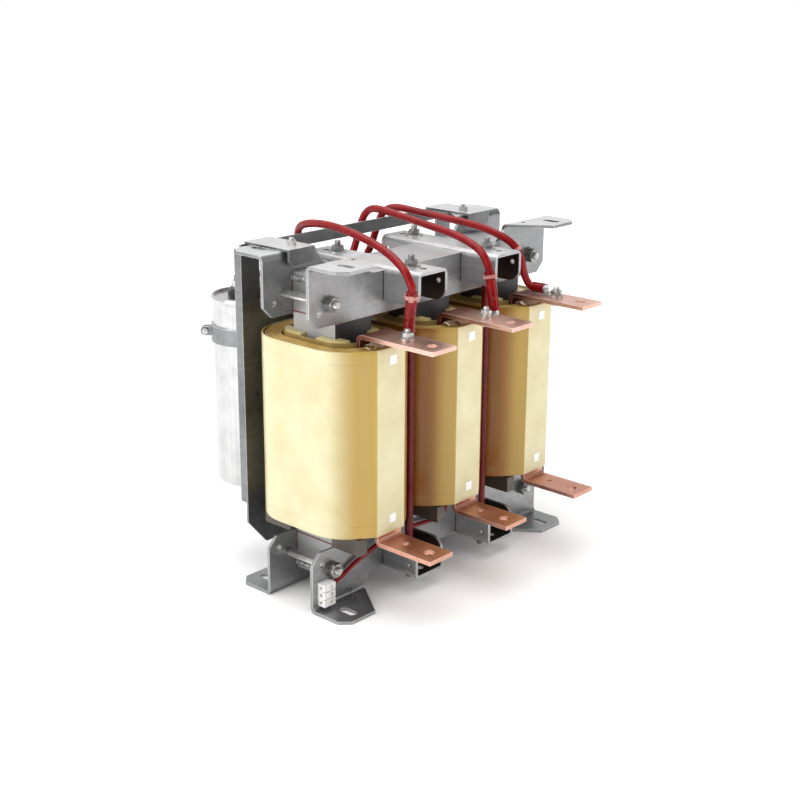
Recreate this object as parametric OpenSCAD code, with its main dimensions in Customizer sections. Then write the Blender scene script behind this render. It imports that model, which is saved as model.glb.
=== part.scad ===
/* [Core] */
// Spacing of the three coils along the row
coil_pitch = 140; // [138:1:160]
// Width of one limb along the row
limb_width = 60; // [48:1:60]
// Depth of the limbs and yokes, front to rear
core_depth = 68; // [60:1:70]
// Height of one yoke
yoke_height = 46; // [40:1:48]
// Height of the whole frame from the feet to the upper tabs
frame_height = 420; // [400:1:480]
// Thickness of the air gap plates at both ends of each limb
gap_plate_t = 2; // [1:0.5:3]

/* [Clamps] */
// Length of the clamp plates along the row
clamp_length = 432; // [428:1:460]
// Height of the plates between their legs
clamp_height = 50; // [48:1:56]
// Rise of the plates above the floor between the legs
clamp_rise = 24; // [22:1:30]
// Sheet thickness of the clamp plates
clamp_t = 4; // [3:0.5:5]
// How far each foot reaches out from the plate
foot_reach = 53; // [50:1:60]
// Width of the slot in each foot and tab
slot_width = 11; // [9:1:13]
// Length of the slot in each foot and tab
slot_length = 24; // [18:1:26]
// Thickness of the insulation between plates and yokes
insulation_t = 1; // [0.5:0.5:2]

/* [Crossbars] */
// Length of the channel bars across the core
bar_length = 188; // [180:1:196]
// Outside width of the channel bars
bar_width = 50; // [46:1:56]
// Height of the channel walls
bar_height = 40; // [34:1:42]
// Sheet thickness of the channel bars
bar_t = 4; // [3:0.5:4]
// Diameter of the upright tie rods
tie_rod_d = 8; // [6:1:8]
// Distance of the tie rods from the middle of the core depth
tie_rod_offset = 60; // [58:1:64]

/* [Coils] */
// Width of the winding along the row
winding_width = 130; // [126:1:132]
// Thickness of the winding from its inside to its outside
winding_build = 23; // [20:1:24]
// Height of the packer blocks between the lower clamps and the coils
packer_height = 20.7; // [15:0.1:30]
// Thickness of the outer wrap
wrap_t = 2; // [1.5:0.5:3]
// Turns of foil in each winding
foil_turns = 7; // [4:1:7]
// Thickness of the foil strip
foil_t = 1.2; // [0.8:0.1:1.4]

/* [Terminals] */
// Width of the copper terminal bars
terminal_width = 40; // [30:1:44]
// Thickness of the copper terminal bars
terminal_t = 5; // [4:0.5:6]
// Distance from the core middle to the tips of the bars
terminal_reach = 172; // [165:1:190]
// Diameter of the connection hole near each tip
terminal_hole_d = 13; // [9:0.5:14]
// Diameter of the small hole nearer the coil
lead_hole_d = 9; // [6:0.5:9]
// Diameter of the red power leads
lead_d = 9.5; // [8:0.5:9.5]

/* [Rear panel and capacitor] */
// Width of the rear panel
panel_width = 380; // [370:1:390]
// Sheet thickness of the rear panel
panel_t = 2.5; // [2:0.5:3]
// Distance from the core middle to the front of the panel
panel_offset = 101; // [98:1:106]
// Diameter of the capacitor can
can_d = 85; // [75:1:90]
// Height of the capacitor can
can_height = 241; // [200:1:250]

/* [Hidden] */
$fn = 48;
fit_gap = 0.3;
overrun = 5;
plane = 0;

row_x = [-coil_pitch, 0, coil_pitch];
half_x = coil_pitch / 2;

// Core
yoke_length = 2 * coil_pitch + limb_width;
yoke_top = clamp_rise + yoke_height;
limb_bottom = yoke_top + gap_plate_t;
limb_top = frame_height - limb_bottom;
weld_r = 3.5;
weld_inset = 7;
insulation_extra = 2.5;

// Clamps
plate_in = core_depth / 2 + insulation_t;
plate_out = plate_in + clamp_t;
clamp_top = clamp_rise + clamp_height;
clamp_half = clamp_length / 2;
clamp_corner = 13;
leg_top_inset = 98;
leg_bottom_inset = 86;
leg_fillet_r = 18;
fillet_steps = 4;
bend_in = 4;
bend_out = bend_in + clamp_t;
foot_edge = plate_out + foot_reach;
foot_inner_inset = 51;
foot_corner = 12;
slot_inset = 28;
slot_reach = 31;
foot_hole_d = 6.6;
foot_hole_inset = 60;
foot_hole_reach = 11;
corner_hole_inset = 16;
corner_hole_drop = 16;
stud_d = 10;
stud_inset = 32;
stud_z = clamp_rise + 0.48 * clamp_height;
stud_hole_play = 1;
stud_x = clamp_half - stud_inset;
nut_10_af = 17;
nut_10_h = 8;
washer_10_d = 20;
washer_10_t = 2;
stud_end = 4;

// Crossbars
bar_bend_in_r = 4;
bar_bend = bar_t + bar_bend_in_r;
bar_end_r = 16;
bar_notch_play = 1;
bar_outer_z = clamp_rise - bar_t;
rod_hole_play = 1;
web_hole_d = 9;
web_hole_inset = 15;
wall_hole_d = 6;
wall_hole_inset = 10;
wall_hole_z = 16;
rod_end = 6;
nut_8_af = 13;
nut_8_h = 6.5;
washer_8_d = 23;
washer_8_t = 1.6;
rod_sleeve_t = 1;

// Coils
winding_inner_x = winding_width / 2 - winding_build;
winding_corner = 30;
winding_front = -63;
winding_rear = 58;
winding_mid_y = (winding_front + winding_rear) / 2;
winding_half_y = (winding_rear - winding_front) / 2;
layer_pitch = winding_build / foil_turns;
layer_t = layer_pitch - foil_t - 2 * 0.4 * foil_t;
layer_gap = (layer_pitch - foil_t - layer_t) / 2;
corner_steps = 4;
former_extra = 2;
wrap_bottom = clamp_top + packer_height + former_extra + fit_gap;
wrap_top = frame_height - wrap_bottom;
wrap_height = wrap_top - wrap_bottom;
winding_recess = 3;
layer_recess = 1.5;
band_half = terminal_width / 2 + wrap_t;
former_t = 1.5;
former_half_x = winding_inner_x - fit_gap;
former_half_y = -winding_front - terminal_t - 2 * fit_gap;
stick_inner_x = limb_width / 2 + fit_gap;
stick_inner_y = core_depth / 2 + fit_gap;
stick_arm = 16;
stick_x_reach = 18;
stick_y_reach = 22;
stick_extra = 4;
packer_inner_x = 26;
packer_width = 14;
packer_reach = 45;

// Terminals
bar_bend_in = 4;
bar_bend_out = bar_bend_in + terminal_t;
inner_lead_y = former_half_y + fit_gap;
outer_lead_y = -winding_front + winding_build + fit_gap;
upper_bar_rise = 13;
lower_bar_drop = 7.6;
inner_lead_inset = 20;
outer_lead_inset = 25;
upper_bar_top = wrap_top + upper_bar_rise;
lower_bar_top = wrap_bottom - lower_bar_drop;
inner_lead_low = wrap_bottom + inner_lead_inset;
outer_lead_high = wrap_top - outer_lead_inset;
hole_inset = 18;
lead_hole_inset = 55;
terminal_hole_y = -(terminal_reach - hole_inset);
lead_hole_y = -(terminal_reach - lead_hole_inset);

// Leads
bolt_head_h = 5.3;
bolt_end = 4;
lug_t = 2.5;
lug_r = 8.5;
small_lug_r = 6.5;
lug_reach = 17;
barrel_r = lead_d / 2 + 0.05 * lead_d;
barrel_h = 14;
sleeve_t = 1.3;
sleeve_in = barrel_r + fit_gap;
sleeve_r = sleeve_in + sleeve_t;
sleeve_low = 5;
sleeve_h = 52;
lying_sleeve_h = 18;
lying_run = 37;
lead_sides = 10;
lead_parts = 2;
run_in = 10;
wire_d = 5.5;
wire_sides = 8;
tie_w = 4;
tie_t = 1.4;
tie_head = 5.5;
tie_inset = 8;
right_tie_at = 7;

// Rear panel
panel_rear = panel_offset + panel_t;
panel_bottom = 35;
panel_corner_x = 30;
panel_corner_z = 34;
panel_lip = 12;
lip_inset = 60;
lip_low = panel_bottom + lip_inset;
lip_drop = 6;
lip_high = frame_height - lip_drop;
window_drop = 15.5;
window_h = 63.5;
window_top = frame_height - window_drop;
window_bottom = window_top - window_h;
window_side = 29;
arm_inset = 8;
arm_width = 41;
arm_front = 27;
arm_t = 3;
hook_drop = 20;
hook_corner = 6;
hook_x = clamp_half - foot_hole_inset;
hook_screw_y = plate_out + foot_hole_reach;
screw_6_d = 6;
nut_6_af = 10;
nut_6_h = 5;
screw_end = 3;

// Capacitor
can_x = -coil_pitch;
can_drop = 74;
can_bottom = frame_height - can_drop - can_height;
can_r = can_d / 2;
band_t = 2.5;
band_r = can_r + fit_gap;
can_y = panel_rear + band_r + band_t;
can_top = can_bottom + can_height;
rim_h = 6;
rim_extra = 1.6;
lid_recess = 4;
rim_t = 2;
can_base_r = 4;
block_r = 23;
block_h = 12;
block_step = 3;
terminal_r = 13;
terminal_stud_d = 6;
terminal_stud_h = 14;
clamp_band_rise = 183;
clamp_band_z = can_bottom + clamp_band_rise;
clamp_band_h = 21;
strap_foot = 16;
ear_reach = 7;
ear_r = 6;
ear_gap = 5;
ear_angle = 132;
screw_4_d = 4;
nut_4_af = 7;
nut_4_h = 3.2;
cap_stud_turn = [240, 0, 120];
cap_lug_turn = [-12, 0, 12];

// Terminal block of the thermostat wire
pole_w = 18;
pole_d = 12;
pole_h = 9.5;
pole_count = 3;
pole_groove = 1;
pole_screw_d = 5;
pole_screw_depth = 3;
pole_wire_d = 4;
pole_inset = 8;
pole_rise = 1;

// Shared shapes

module flipped() {
    translate([0, 0, frame_height]) mirror([0, 0, 1]) children();
}

module both_x() {
    children();
    mirror([1, 0, 0]) children();
}

module both_y() {
    children();
    mirror([0, 1, 0]) children();
}

module upper_and_lower() {
    children();
    flipped() children();
}

// A box from its low corner to its high corner
module block(low, high) {
    translate(low) cube(high - low);
}

// A rectangle with true round corners
module oblong(half_w, half_d, r) {
    square([2 * half_w, 2 * (half_d - r)], center = true);
    square([2 * (half_w - r), 2 * half_d], center = true);
    for (x = [-1, 1], y = [-1, 1])
        translate([x * (half_w - r), y * (half_d - r)]) circle(r);
}

// A slot along Y
module slot_hole(width, length) {
    square([width, length - width], center = true);
    for (y = [-1, 1]) translate([0, y * (length - width) / 2]) circle(d = width);
}

module hex_nut(across, height, bore) {
    difference() {
        cylinder(h = height, r = across / 2 / cos(30), $fn = 6);
        translate([0, 0, -overrun]) cylinder(h = height + 2 * overrun, d = bore);
    }
}

module washer(outer, height, bore) {
    difference() {
        cylinder(h = height, d = outer);
        translate([0, 0, -overrun]) cylinder(h = height + 2 * overrun, d = bore);
    }
}

// Core

module yoke() {
    block([-yoke_length / 2, -core_depth / 2, clamp_rise],
          [yoke_length / 2, core_depth / 2, yoke_top]);
    both_x() intersection() {
        translate([yoke_length / 2, core_depth / 2, clamp_rise + weld_inset])
            rotate([90, 0, 0]) cylinder(h = core_depth, r = weld_r);
        block([0, -core_depth, plane], [clamp_length, core_depth, yoke_top]);
    }
}

module limb(x) {
    block([x - limb_width / 2, -core_depth / 2, limb_bottom],
          [x + limb_width / 2, core_depth / 2, limb_top]);
}

module gap_spacers() {
    upper_and_lower() for (x = row_x)
        block([x - limb_width / 2, -core_depth / 2, yoke_top],
              [x + limb_width / 2, core_depth / 2, limb_bottom]);
}

module yoke_insulation() {
    upper_and_lower() both_y()
        block([-yoke_length / 2, core_depth / 2, clamp_rise],
              [yoke_length / 2, plate_in, clamp_top + insulation_extra]);
}

// Clamp plates, drawn as the lower rear one

// Round inner corner between a leg and the lower edge of the plate
leg_turn = atan2(clamp_rise - bend_out, leg_top_inset - leg_bottom_inset);
leg_fillet = [for (k = [0 : fillet_steps])
    [clamp_half - leg_top_inset - leg_fillet_r * (tan(leg_turn / 2) - sin(k * leg_turn / fillet_steps)),
     clamp_rise - leg_fillet_r * (1 - cos(k * leg_turn / fillet_steps))]];

module clamp_outline() {
    polygon(concat(leg_fillet, [
        [clamp_half - leg_bottom_inset, bend_out],
        [clamp_half, bend_out],
        [clamp_half, clamp_top - clamp_corner],
        [clamp_half - clamp_corner, clamp_top],
        [-clamp_half + clamp_corner, clamp_top],
        [-clamp_half, clamp_top - clamp_corner],
        [-clamp_half, bend_out],
        [-clamp_half + leg_bottom_inset, bend_out]
    ], [for (k = [fillet_steps : -1 : 0]) [-leg_fillet[k][0], leg_fillet[k][1]]]));
}

module clamp_foot() {
    difference() {
        polygon([
            [clamp_half - leg_bottom_inset, plate_out + bend_in],
            [clamp_half, plate_out + bend_in],
            [clamp_half, foot_edge - foot_corner],
            [clamp_half - foot_corner, foot_edge],
            [clamp_half - foot_inner_inset, foot_edge]
        ]);
        translate([clamp_half - slot_inset, plate_out + slot_reach])
            slot_hole(slot_width, slot_length);
        translate([clamp_half - foot_hole_inset, plate_out + foot_hole_reach])
            circle(d = foot_hole_d);
    }
}

module clamp_bend() {
    translate([clamp_half - leg_bottom_inset, plate_out + bend_in, bend_out])
        rotate([90, 0, 90]) linear_extrude(leg_bottom_inset) intersection() {
            difference() {
                circle(bend_out);
                circle(bend_in);
            }
            translate([-bend_out, -bend_out]) square(bend_out);
        }
}

module clamp_plate() {
    difference() {
        translate([0, plate_out, 0]) rotate([90, 0, 0])
            linear_extrude(clamp_t) clamp_outline();
        both_x() translate([stud_x, plate_out + overrun, stud_z]) rotate([90, 0, 0])
            cylinder(h = clamp_t + 2 * overrun, d = stud_d + stud_hole_play);
        both_x() translate([clamp_half - corner_hole_inset, plate_out + overrun,
                            clamp_top - corner_hole_drop])
            rotate([90, 0, 0]) cylinder(h = clamp_t + 2 * overrun, d = foot_hole_d);
    }
    both_x() {
        clamp_bend();
        linear_extrude(clamp_t) clamp_foot();
    }
}

// Channel bars across the core, drawn as the lower one in the middle

module bar_section() {
    difference() {
        union() {
            translate([-bar_width / 2 + bar_bend, bar_outer_z])
                square([bar_width - 2 * bar_bend, bar_height]);
            translate([-bar_width / 2, bar_outer_z + bar_bend])
                square([bar_width, bar_height - bar_bend]);
            for (x = [-1, 1])
                translate([x * (bar_width / 2 - bar_bend), bar_outer_z + bar_bend])
                    circle(bar_bend);
        }
        translate([-bar_width / 2 + bar_bend, bar_outer_z + bar_t])
            square([bar_width - 2 * bar_bend, bar_height]);
        translate([-bar_width / 2 + bar_t, bar_outer_z + bar_bend])
            square([bar_width - 2 * bar_t, bar_height]);
        for (x = [-1, 1])
            translate([x * (bar_width / 2 - bar_bend), bar_outer_z + bar_bend])
                circle(bar_bend - bar_t);
    }
}

// Side view of a bar: cut down to its web over the core, with round free corners
module bar_side() {
    difference() {
        translate([-bar_length / 2, bar_outer_z]) square([bar_length, bar_height]);
        translate([-plate_out - bar_notch_play, clamp_rise])
            square([2 * (plate_out + bar_notch_play), bar_height + overrun]);
        for (y = [-1, 1]) difference() {
            translate([y * (bar_length / 2 - bar_end_r / 2 + overrun / 2),
                       bar_outer_z + bar_height - bar_end_r / 2 + overrun / 2])
                square(bar_end_r + overrun, center = true);
            translate([y * (bar_length / 2 - bar_end_r),
                       bar_outer_z + bar_height - bar_end_r]) circle(bar_end_r);
        }
    }
}

module crossbar(x) {
    translate([x, 0, 0]) difference() {
        intersection() {
            translate([0, bar_length / 2, 0]) rotate([90, 0, 0])
                linear_extrude(bar_length) bar_section();
            translate([-bar_width / 2 - overrun, 0, 0]) rotate([90, 0, 90])
                linear_extrude(bar_width + 2 * overrun) bar_side();
        }
        both_y() {
            translate([0, tie_rod_offset, bar_outer_z - overrun])
                cylinder(h = bar_t + 2 * overrun, d = tie_rod_d + rod_hole_play);
            translate([0, bar_length / 2 - web_hole_inset, bar_outer_z - overrun])
                cylinder(h = bar_t + 2 * overrun, d = web_hole_d);
            translate([-bar_width / 2 - overrun, bar_length / 2 - wall_hole_inset,
                       bar_outer_z + wall_hole_z])
                rotate([0, 90, 0]) cylinder(h = bar_width + 2 * overrun, d = wall_hole_d);
        }
    }
}

// Rods and nuts

module at_tie_rods() {
    for (x = [-half_x, half_x], y = [-tie_rod_offset, tie_rod_offset])
        translate([x, y, 0]) children();
}

module tie_rods() {
    at_tie_rods() translate([0, 0, rod_end])
        cylinder(h = frame_height - 2 * rod_end, d = tie_rod_d);
}

module tie_rod_sleeves() {
    at_tie_rods() translate([0, 0, clamp_rise])
        washer(tie_rod_d + 2 * (fit_gap + rod_sleeve_t), frame_height - 2 * clamp_rise,
               tie_rod_d + 2 * fit_gap);
}

module tie_rod_washers() {
    upper_and_lower() at_tie_rods() translate([0, 0, bar_outer_z - washer_8_t])
        washer(washer_8_d, washer_8_t, tie_rod_d + 2 * fit_gap);
}

module tie_rod_nuts() {
    upper_and_lower() at_tie_rods()
        translate([0, 0, bar_outer_z - washer_8_t - nut_8_h])
            hex_nut(nut_8_af, nut_8_h, tie_rod_d + 2 * fit_gap);
}

module at_studs() {
    for (x = [-stud_x, stud_x], z = [stud_z, frame_height - stud_z])
        translate([x, 0, z]) rotate([90, 0, 0]) children();
}

module clamp_studs() {
    stud_half = plate_out + washer_10_t + nut_10_h + stud_end;
    at_studs() translate([0, 0, -stud_half]) cylinder(h = 2 * stud_half, d = stud_d);
}

module clamp_washers() {
    at_studs() for (s = [0, 1]) mirror([0, 0, s]) translate([0, 0, plate_out])
        washer(washer_10_d, washer_10_t, stud_d + 2 * fit_gap);
}

module clamp_nuts() {
    at_studs() for (s = [0, 1]) mirror([0, 0, s])
        translate([0, 0, plate_out + washer_10_t])
            hex_nut(nut_10_af, nut_10_h, stud_d + 2 * fit_gap);
}

// Coils

// Point where the wrap leaves the round corner for the edge of the bar under it
function wrap_touch(grow) =
    let (
        middle = [-(winding_inner_x - winding_corner), winding_front + winding_corner],
        edge = [-band_half - grow / 2, -outer_lead_y - terminal_t - grow],
        r = winding_corner + winding_build + grow,
        away = edge - middle,
        far = norm(away),
        turn = atan2(away[1], away[0]) - acos(r / far)
    )
    middle + r * [cos(turn), sin(turn)];

module coil_outline(grow) {
    touch = wrap_touch(grow);
    edge = [-band_half - grow / 2, -outer_lead_y - terminal_t - grow];
    translate([0, winding_mid_y])
        oblong(winding_inner_x + winding_build + grow, winding_half_y + winding_build + grow,
               winding_corner + winding_build + grow);
    polygon([touch, edge, [-edge[0], edge[1]], [-touch[0], touch[1]]]);
}

module coil_wrap(x) {
    translate([x, 0, wrap_bottom]) linear_extrude(wrap_height) difference() {
        coil_outline(wrap_t + fit_gap);
        coil_outline(fit_gap);
    }
}

// One long strip wound round and round: each step is one point of its centre path
function strip_point(step, out) =
    let (
        per_side = corner_steps + 1,
        side = floor(step / per_side) % 4,
        turn = 90 * (side + (step % per_side) / corner_steps),
        r = winding_corner + out + layer_pitch * step / (4 * per_side),
        sx = (side == 0 || side == 3) ? 1 : -1,
        sy = side < 2 ? 1 : -1
    )
    [sx * (winding_inner_x - winding_corner) + r * cos(turn),
     sy * (winding_half_y - winding_corner) + r * sin(turn)];

module strip(out, t) {
    steps = 4 * (corner_steps + 1) * (foil_turns - 1);
    translate([0, winding_mid_y]) polygon(concat(
        [for (s = [0 : steps]) strip_point(s, out)],
        [for (s = [steps : -1 : 0]) strip_point(s, out + t)]
    ));
}

module winding(x) {
    translate([x, 0, wrap_bottom + winding_recess])
        linear_extrude(wrap_height - 2 * winding_recess)
            strip(layer_gap, foil_t);
}

module interlayer(x) {
    translate([x, 0, wrap_bottom + layer_recess])
        linear_extrude(wrap_height - 2 * layer_recess)
            strip(2 * layer_gap + foil_t, layer_t);
}

module coil_former(x) {
    translate([x, 0, wrap_bottom - former_extra])
        linear_extrude(wrap_height + 2 * former_extra) difference() {
            oblong(former_half_x, former_half_y, winding_corner);
            oblong(former_half_x - former_t, former_half_y - former_t,
                   winding_corner - former_t);
        }
}

module duct_sticks() {
    for (x = row_x) translate([x, 0, wrap_bottom])
        linear_extrude(wrap_height + stick_extra) intersection() {
            oblong(former_half_x - former_t - fit_gap, former_half_y - former_t - fit_gap,
                   winding_corner - former_t - fit_gap);
            for (mx = [0, 1], my = [0, 1]) mirror([mx, 0]) mirror([0, my]) difference() {
                translate([stick_inner_x - stick_arm / 2, stick_inner_y - stick_y_reach])
                    square([stick_arm + stick_x_reach, stick_y_reach + stick_arm]);
                translate([-stick_inner_x, -stick_inner_y])
                    square([2 * stick_inner_x, 2 * stick_inner_y]);
            }
        }
}

module coil_packers() {
    for (x = row_x) translate([x, 0, 0]) both_x() both_y()
        block([packer_inner_x, plate_in + fit_gap, clamp_top],
              [packer_inner_x + packer_width, plate_in + packer_reach,
               clamp_top + packer_height]);
}

// Copper bars, bent from the winding to the front

module quarter_bend(r_out, r_in, width) {
    rotate([90, 0, 90]) linear_extrude(width, center = true) intersection() {
        difference() {
            circle(r_out);
            circle(r_in);
        }
        square(r_out);
    }
}

module bar_holes(x, top) {
    translate([x, terminal_hole_y, top - terminal_t - overrun])
        cylinder(h = terminal_t + 2 * overrun, d = terminal_hole_d);
    translate([x, lead_hole_y, top - terminal_t - overrun])
        cylinder(h = terminal_t + 2 * overrun, d = lead_hole_d);
}

module upper_terminal(x) {
    half = terminal_width / 2;
    face = inner_lead_y + terminal_t;
    difference() {
        union() {
            block([x - half, -face, inner_lead_low],
                  [x + half, -inner_lead_y, upper_bar_top - bar_bend_out]);
            translate([x, -face - bar_bend_in, upper_bar_top - bar_bend_out])
                quarter_bend(bar_bend_out, bar_bend_in, terminal_width);
            block([x - half, -terminal_reach, upper_bar_top - terminal_t],
                  [x + half, -face - bar_bend_in, upper_bar_top]);
        }
        bar_holes(x, upper_bar_top);
    }
}

module lower_terminal(x) {
    half = terminal_width / 2;
    face = outer_lead_y + terminal_t;
    difference() {
        union() {
            block([x - half, -face, lower_bar_top + bar_bend_in],
                  [x + half, -outer_lead_y, outer_lead_high]);
            translate([x, -face - bar_bend_in, lower_bar_top + bar_bend_in])
                mirror([0, 0, 1]) quarter_bend(bar_bend_out, bar_bend_in, terminal_width);
            block([x - half, -terminal_reach, lower_bar_top - terminal_t],
                  [x + half, -face - bar_bend_in, lower_bar_top]);
        }
        bar_holes(x, lower_bar_top);
    }
}

// Rear panel with its two hooks over the upper tabs

module panel_sheet() {
    half = panel_width / 2;
    window_half = half - window_side;
    difference() {
        polygon([
            [-half, panel_bottom + panel_corner_z],
            [-half + panel_corner_x, panel_bottom],
            [half - panel_corner_x, panel_bottom],
            [half, panel_bottom + panel_corner_z],
            [half, frame_height],
            [-half, frame_height]
        ]);
        translate([-window_half, window_bottom])
            square([2 * window_half, window_top - window_bottom]);
    }
}

module panel_arm() {
    outer = panel_width / 2 - arm_inset;
    inner = outer - arm_width;
    difference() {
        block([inner, arm_front, frame_height], [outer, panel_rear, frame_height + arm_t]);
        translate([hook_x, hook_screw_y, frame_height - overrun])
            cylinder(h = arm_t + 2 * overrun, d = screw_6_d + 2 * fit_gap);
    }
    translate([0, arm_front + arm_t, 0]) rotate([90, 0, 0]) linear_extrude(arm_t) polygon([
        [inner, frame_height],
        [outer, frame_height],
        [outer, frame_height + arm_t - hook_drop + hook_corner],
        [outer - hook_corner, frame_height + arm_t - hook_drop],
        [inner + hook_corner, frame_height + arm_t - hook_drop],
        [inner, frame_height + arm_t - hook_drop + hook_corner]
    ]);
}

module rear_panel() {
    difference() {
        union() {
            translate([0, panel_rear, 0]) rotate([90, 0, 0])
                linear_extrude(panel_t) panel_sheet();
            both_x() {
                block([panel_width / 2 - panel_t, panel_rear, lip_low],
                      [panel_width / 2, panel_offset + panel_lip, lip_high]);
                panel_arm();
            }
        }
        at_strap_screw() cylinder(h = 2 * overrun, d = screw_6_d + 2 * fit_gap, center = true);
    }
}

module hook_screws() {
    for (x = [-hook_x, hook_x]) translate([x, hook_screw_y, 0]) {
        translate([0, 0, frame_height + arm_t])
            hex_nut(nut_6_af, nut_6_h, screw_6_d + 2 * fit_gap);
        translate([0, 0, frame_height - clamp_t - nut_6_h]) {
            cylinder(h = nut_6_h, r = nut_6_af / 2 / cos(30), $fn = 6);
            cylinder(h = nut_6_h + clamp_t + arm_t + nut_6_h + screw_end, d = screw_6_d);
        }
    }
}

// Capacitor

module capacitor_can() {
    translate([can_x, can_y, can_bottom]) rotate_extrude($fn = 72) difference() {
        union() {
            translate([0, can_base_r]) square([can_r, can_height - can_base_r]);
            square([can_r - can_base_r, can_base_r + overrun]);
            translate([can_r - can_base_r, can_base_r]) circle(can_base_r);
            translate([0, can_height - rim_h]) square([can_r + rim_extra, rim_h]);
        }
        translate([0, can_height - lid_recess]) square([can_r - rim_t, lid_recess + overrun]);
        translate([-can_r, -overrun]) square([can_r, can_height + 2 * overrun]);
    }
}

module at_cap_terminals() {
    for (turn = cap_stud_turn) translate([can_x, can_y, 0]) rotate(turn)
        translate([terminal_r, 0, can_top - lid_recess + block_h]) children();
}

module capacitor_terminal_block() {
    translate([can_x, can_y, can_top - lid_recess]) {
        cylinder(h = block_h - block_step, r = block_r);
        cylinder(h = block_h, r = block_r - block_step);
    }
    at_cap_terminals() cylinder(h = terminal_stud_h, d = terminal_stud_d);
}

module capacitor_nuts() {
    at_cap_terminals() translate([0, 0, lug_t])
        hex_nut(nut_6_af, nut_6_h, terminal_stud_d + 2 * fit_gap);
}

strap_x = band_r + band_t + strap_foot / 2;
ear_x = band_r + band_t + ear_reach;

module capacitor_clamp() {
    translate([can_x, can_y, clamp_band_z]) difference() {
        union() {
            linear_extrude(clamp_band_h) difference() {
                union() {
                    circle(band_r + band_t);
                    translate([0, -band_r - band_t])
                        square([strap_x + strap_foot / 2, band_t]);
                }
                circle(band_r);
            }
            rotate(ear_angle) for (s = [0, 1]) mirror([0, s, 0])
                translate([0, ear_gap / 2 + band_t, clamp_band_h / 2]) rotate([90, 0, 0])
                    linear_extrude(band_t) {
                        translate([ear_x, 0]) circle(ear_r);
                        translate([band_r + band_t / 2, -ear_r])
                            square([ear_x - band_r - band_t / 2, 2 * ear_r]);
                    }
        }
        rotate(ear_angle) {
            translate([band_r - band_t, -ear_gap / 2, -overrun])
                cube([3 * band_t, ear_gap, clamp_band_h + 2 * overrun]);
            translate([ear_x, 0, clamp_band_h / 2]) rotate([90, 0, 0])
                cylinder(h = 2 * ear_gap + 2 * band_t, d = screw_4_d + 2 * fit_gap,
                         center = true);
        }
        translate([strap_x, -band_r, clamp_band_h / 2])
            rotate([90, 0, 0]) cylinder(h = 2 * overrun, d = screw_6_d + 2 * fit_gap,
                                        center = true);
    }
}

// Place of the screw that holds the strap to the panel
module at_strap_screw() {
    translate([can_x + strap_x, panel_rear, clamp_band_z + clamp_band_h / 2])
        rotate([90, 0, 0]) children();
}

module capacitor_clamp_screws() {
    at_strap_screw() {
        translate([0, 0, -band_t - nut_6_h]) cylinder(h = nut_6_h, r = nut_6_af / 2 / cos(30), $fn = 6);
        translate([0, 0, -band_t - nut_6_h - screw_end])
            cylinder(h = 2 * nut_6_h + band_t + panel_t + screw_end, d = screw_6_d);
        translate([0, 0, panel_t]) cylinder(h = nut_6_h, r = nut_6_af / 2 / cos(30), $fn = 6);
    }
    translate([can_x, can_y, clamp_band_z + clamp_band_h / 2]) rotate(ear_angle)
        translate([ear_x, 0, 0]) rotate([90, 0, 0]) {
            cylinder(h = ear_gap + 2 * (band_t + nut_4_h + screw_end / 3), d = screw_4_d,
                     center = true);
            for (s = [0, 1]) mirror([0, 0, s]) translate([0, 0, ear_gap / 2 + band_t])
                cylinder(h = nut_4_h, r = nut_4_af / 2 / cos(30), $fn = 6);
        }
}

// Leads

function unit(v) = v / norm(v);

// Direction of the route at one of its points
function heading(route, i) =
    i == 0 ? unit(route[1] - route[0])
    : i == len(route) - 1 ? unit(route[i] - route[i - 1])
    : unit(unit(route[i + 1] - route[i]) + unit(route[i] - route[i - 1]));

// Sideways direction carried along the route without twisting
function carried(route, i) =
    i == 0 ? unit(cross(heading(route, 0), [0.31, 0.83, 0.46]))
    : let (h = heading(route, i), before = carried(route, i - 1))
      unit(before - (before * h) * h);

module cord(route, d, sides) {
    rings = [for (i = [0 : len(route) - 1])
        let (h = heading(route, i), u = carried(route, i), v = cross(h, u))
        for (k = [0 : sides - 1])
            route[i] + d / 2 * (cos(360 * k / sides) * u + sin(360 * k / sides) * v)];
    last = (len(route) - 1) * sides;
    polyhedron(rings, concat(
        [[for (k = [0 : sides - 1]) k]],
        [for (i = [0 : len(route) - 2], k = [0 : sides - 1], half = [0, 1])
            let (a = i * sides + k, b = i * sides + (k + 1) % sides)
            half == 0 ? [a, a + sides, b] : [b, a + sides, b + sides]],
        [[for (k = [sides - 1 : -1 : 0]) last + k]]
    ));
}

// Soft curve through the chosen points
function spline_at(p, i, t) =
    let (
        a = p[max(i - 1, 0)], b = p[i], c = p[i + 1], e = p[min(i + 2, len(p) - 1)]
    )
    0.5 * ((2 * b) + (c - a) * t + (2 * a - 5 * b + 4 * c - e) * t * t
           + (3 * b - a - 3 * c + e) * t * t * t);

function smooth_route(p, parts) =
    concat([for (i = [0 : len(p) - 2], k = [0 : parts - 1]) spline_at(p, i, k / parts)],
           [p[len(p) - 1]]);

// Route points stand on a grid; those of the leads are measured from the top of the frame
route_grid = 1;
function from_top(points) = [for (p = points) route_grid * p + [0, 0, frame_height]];

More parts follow.
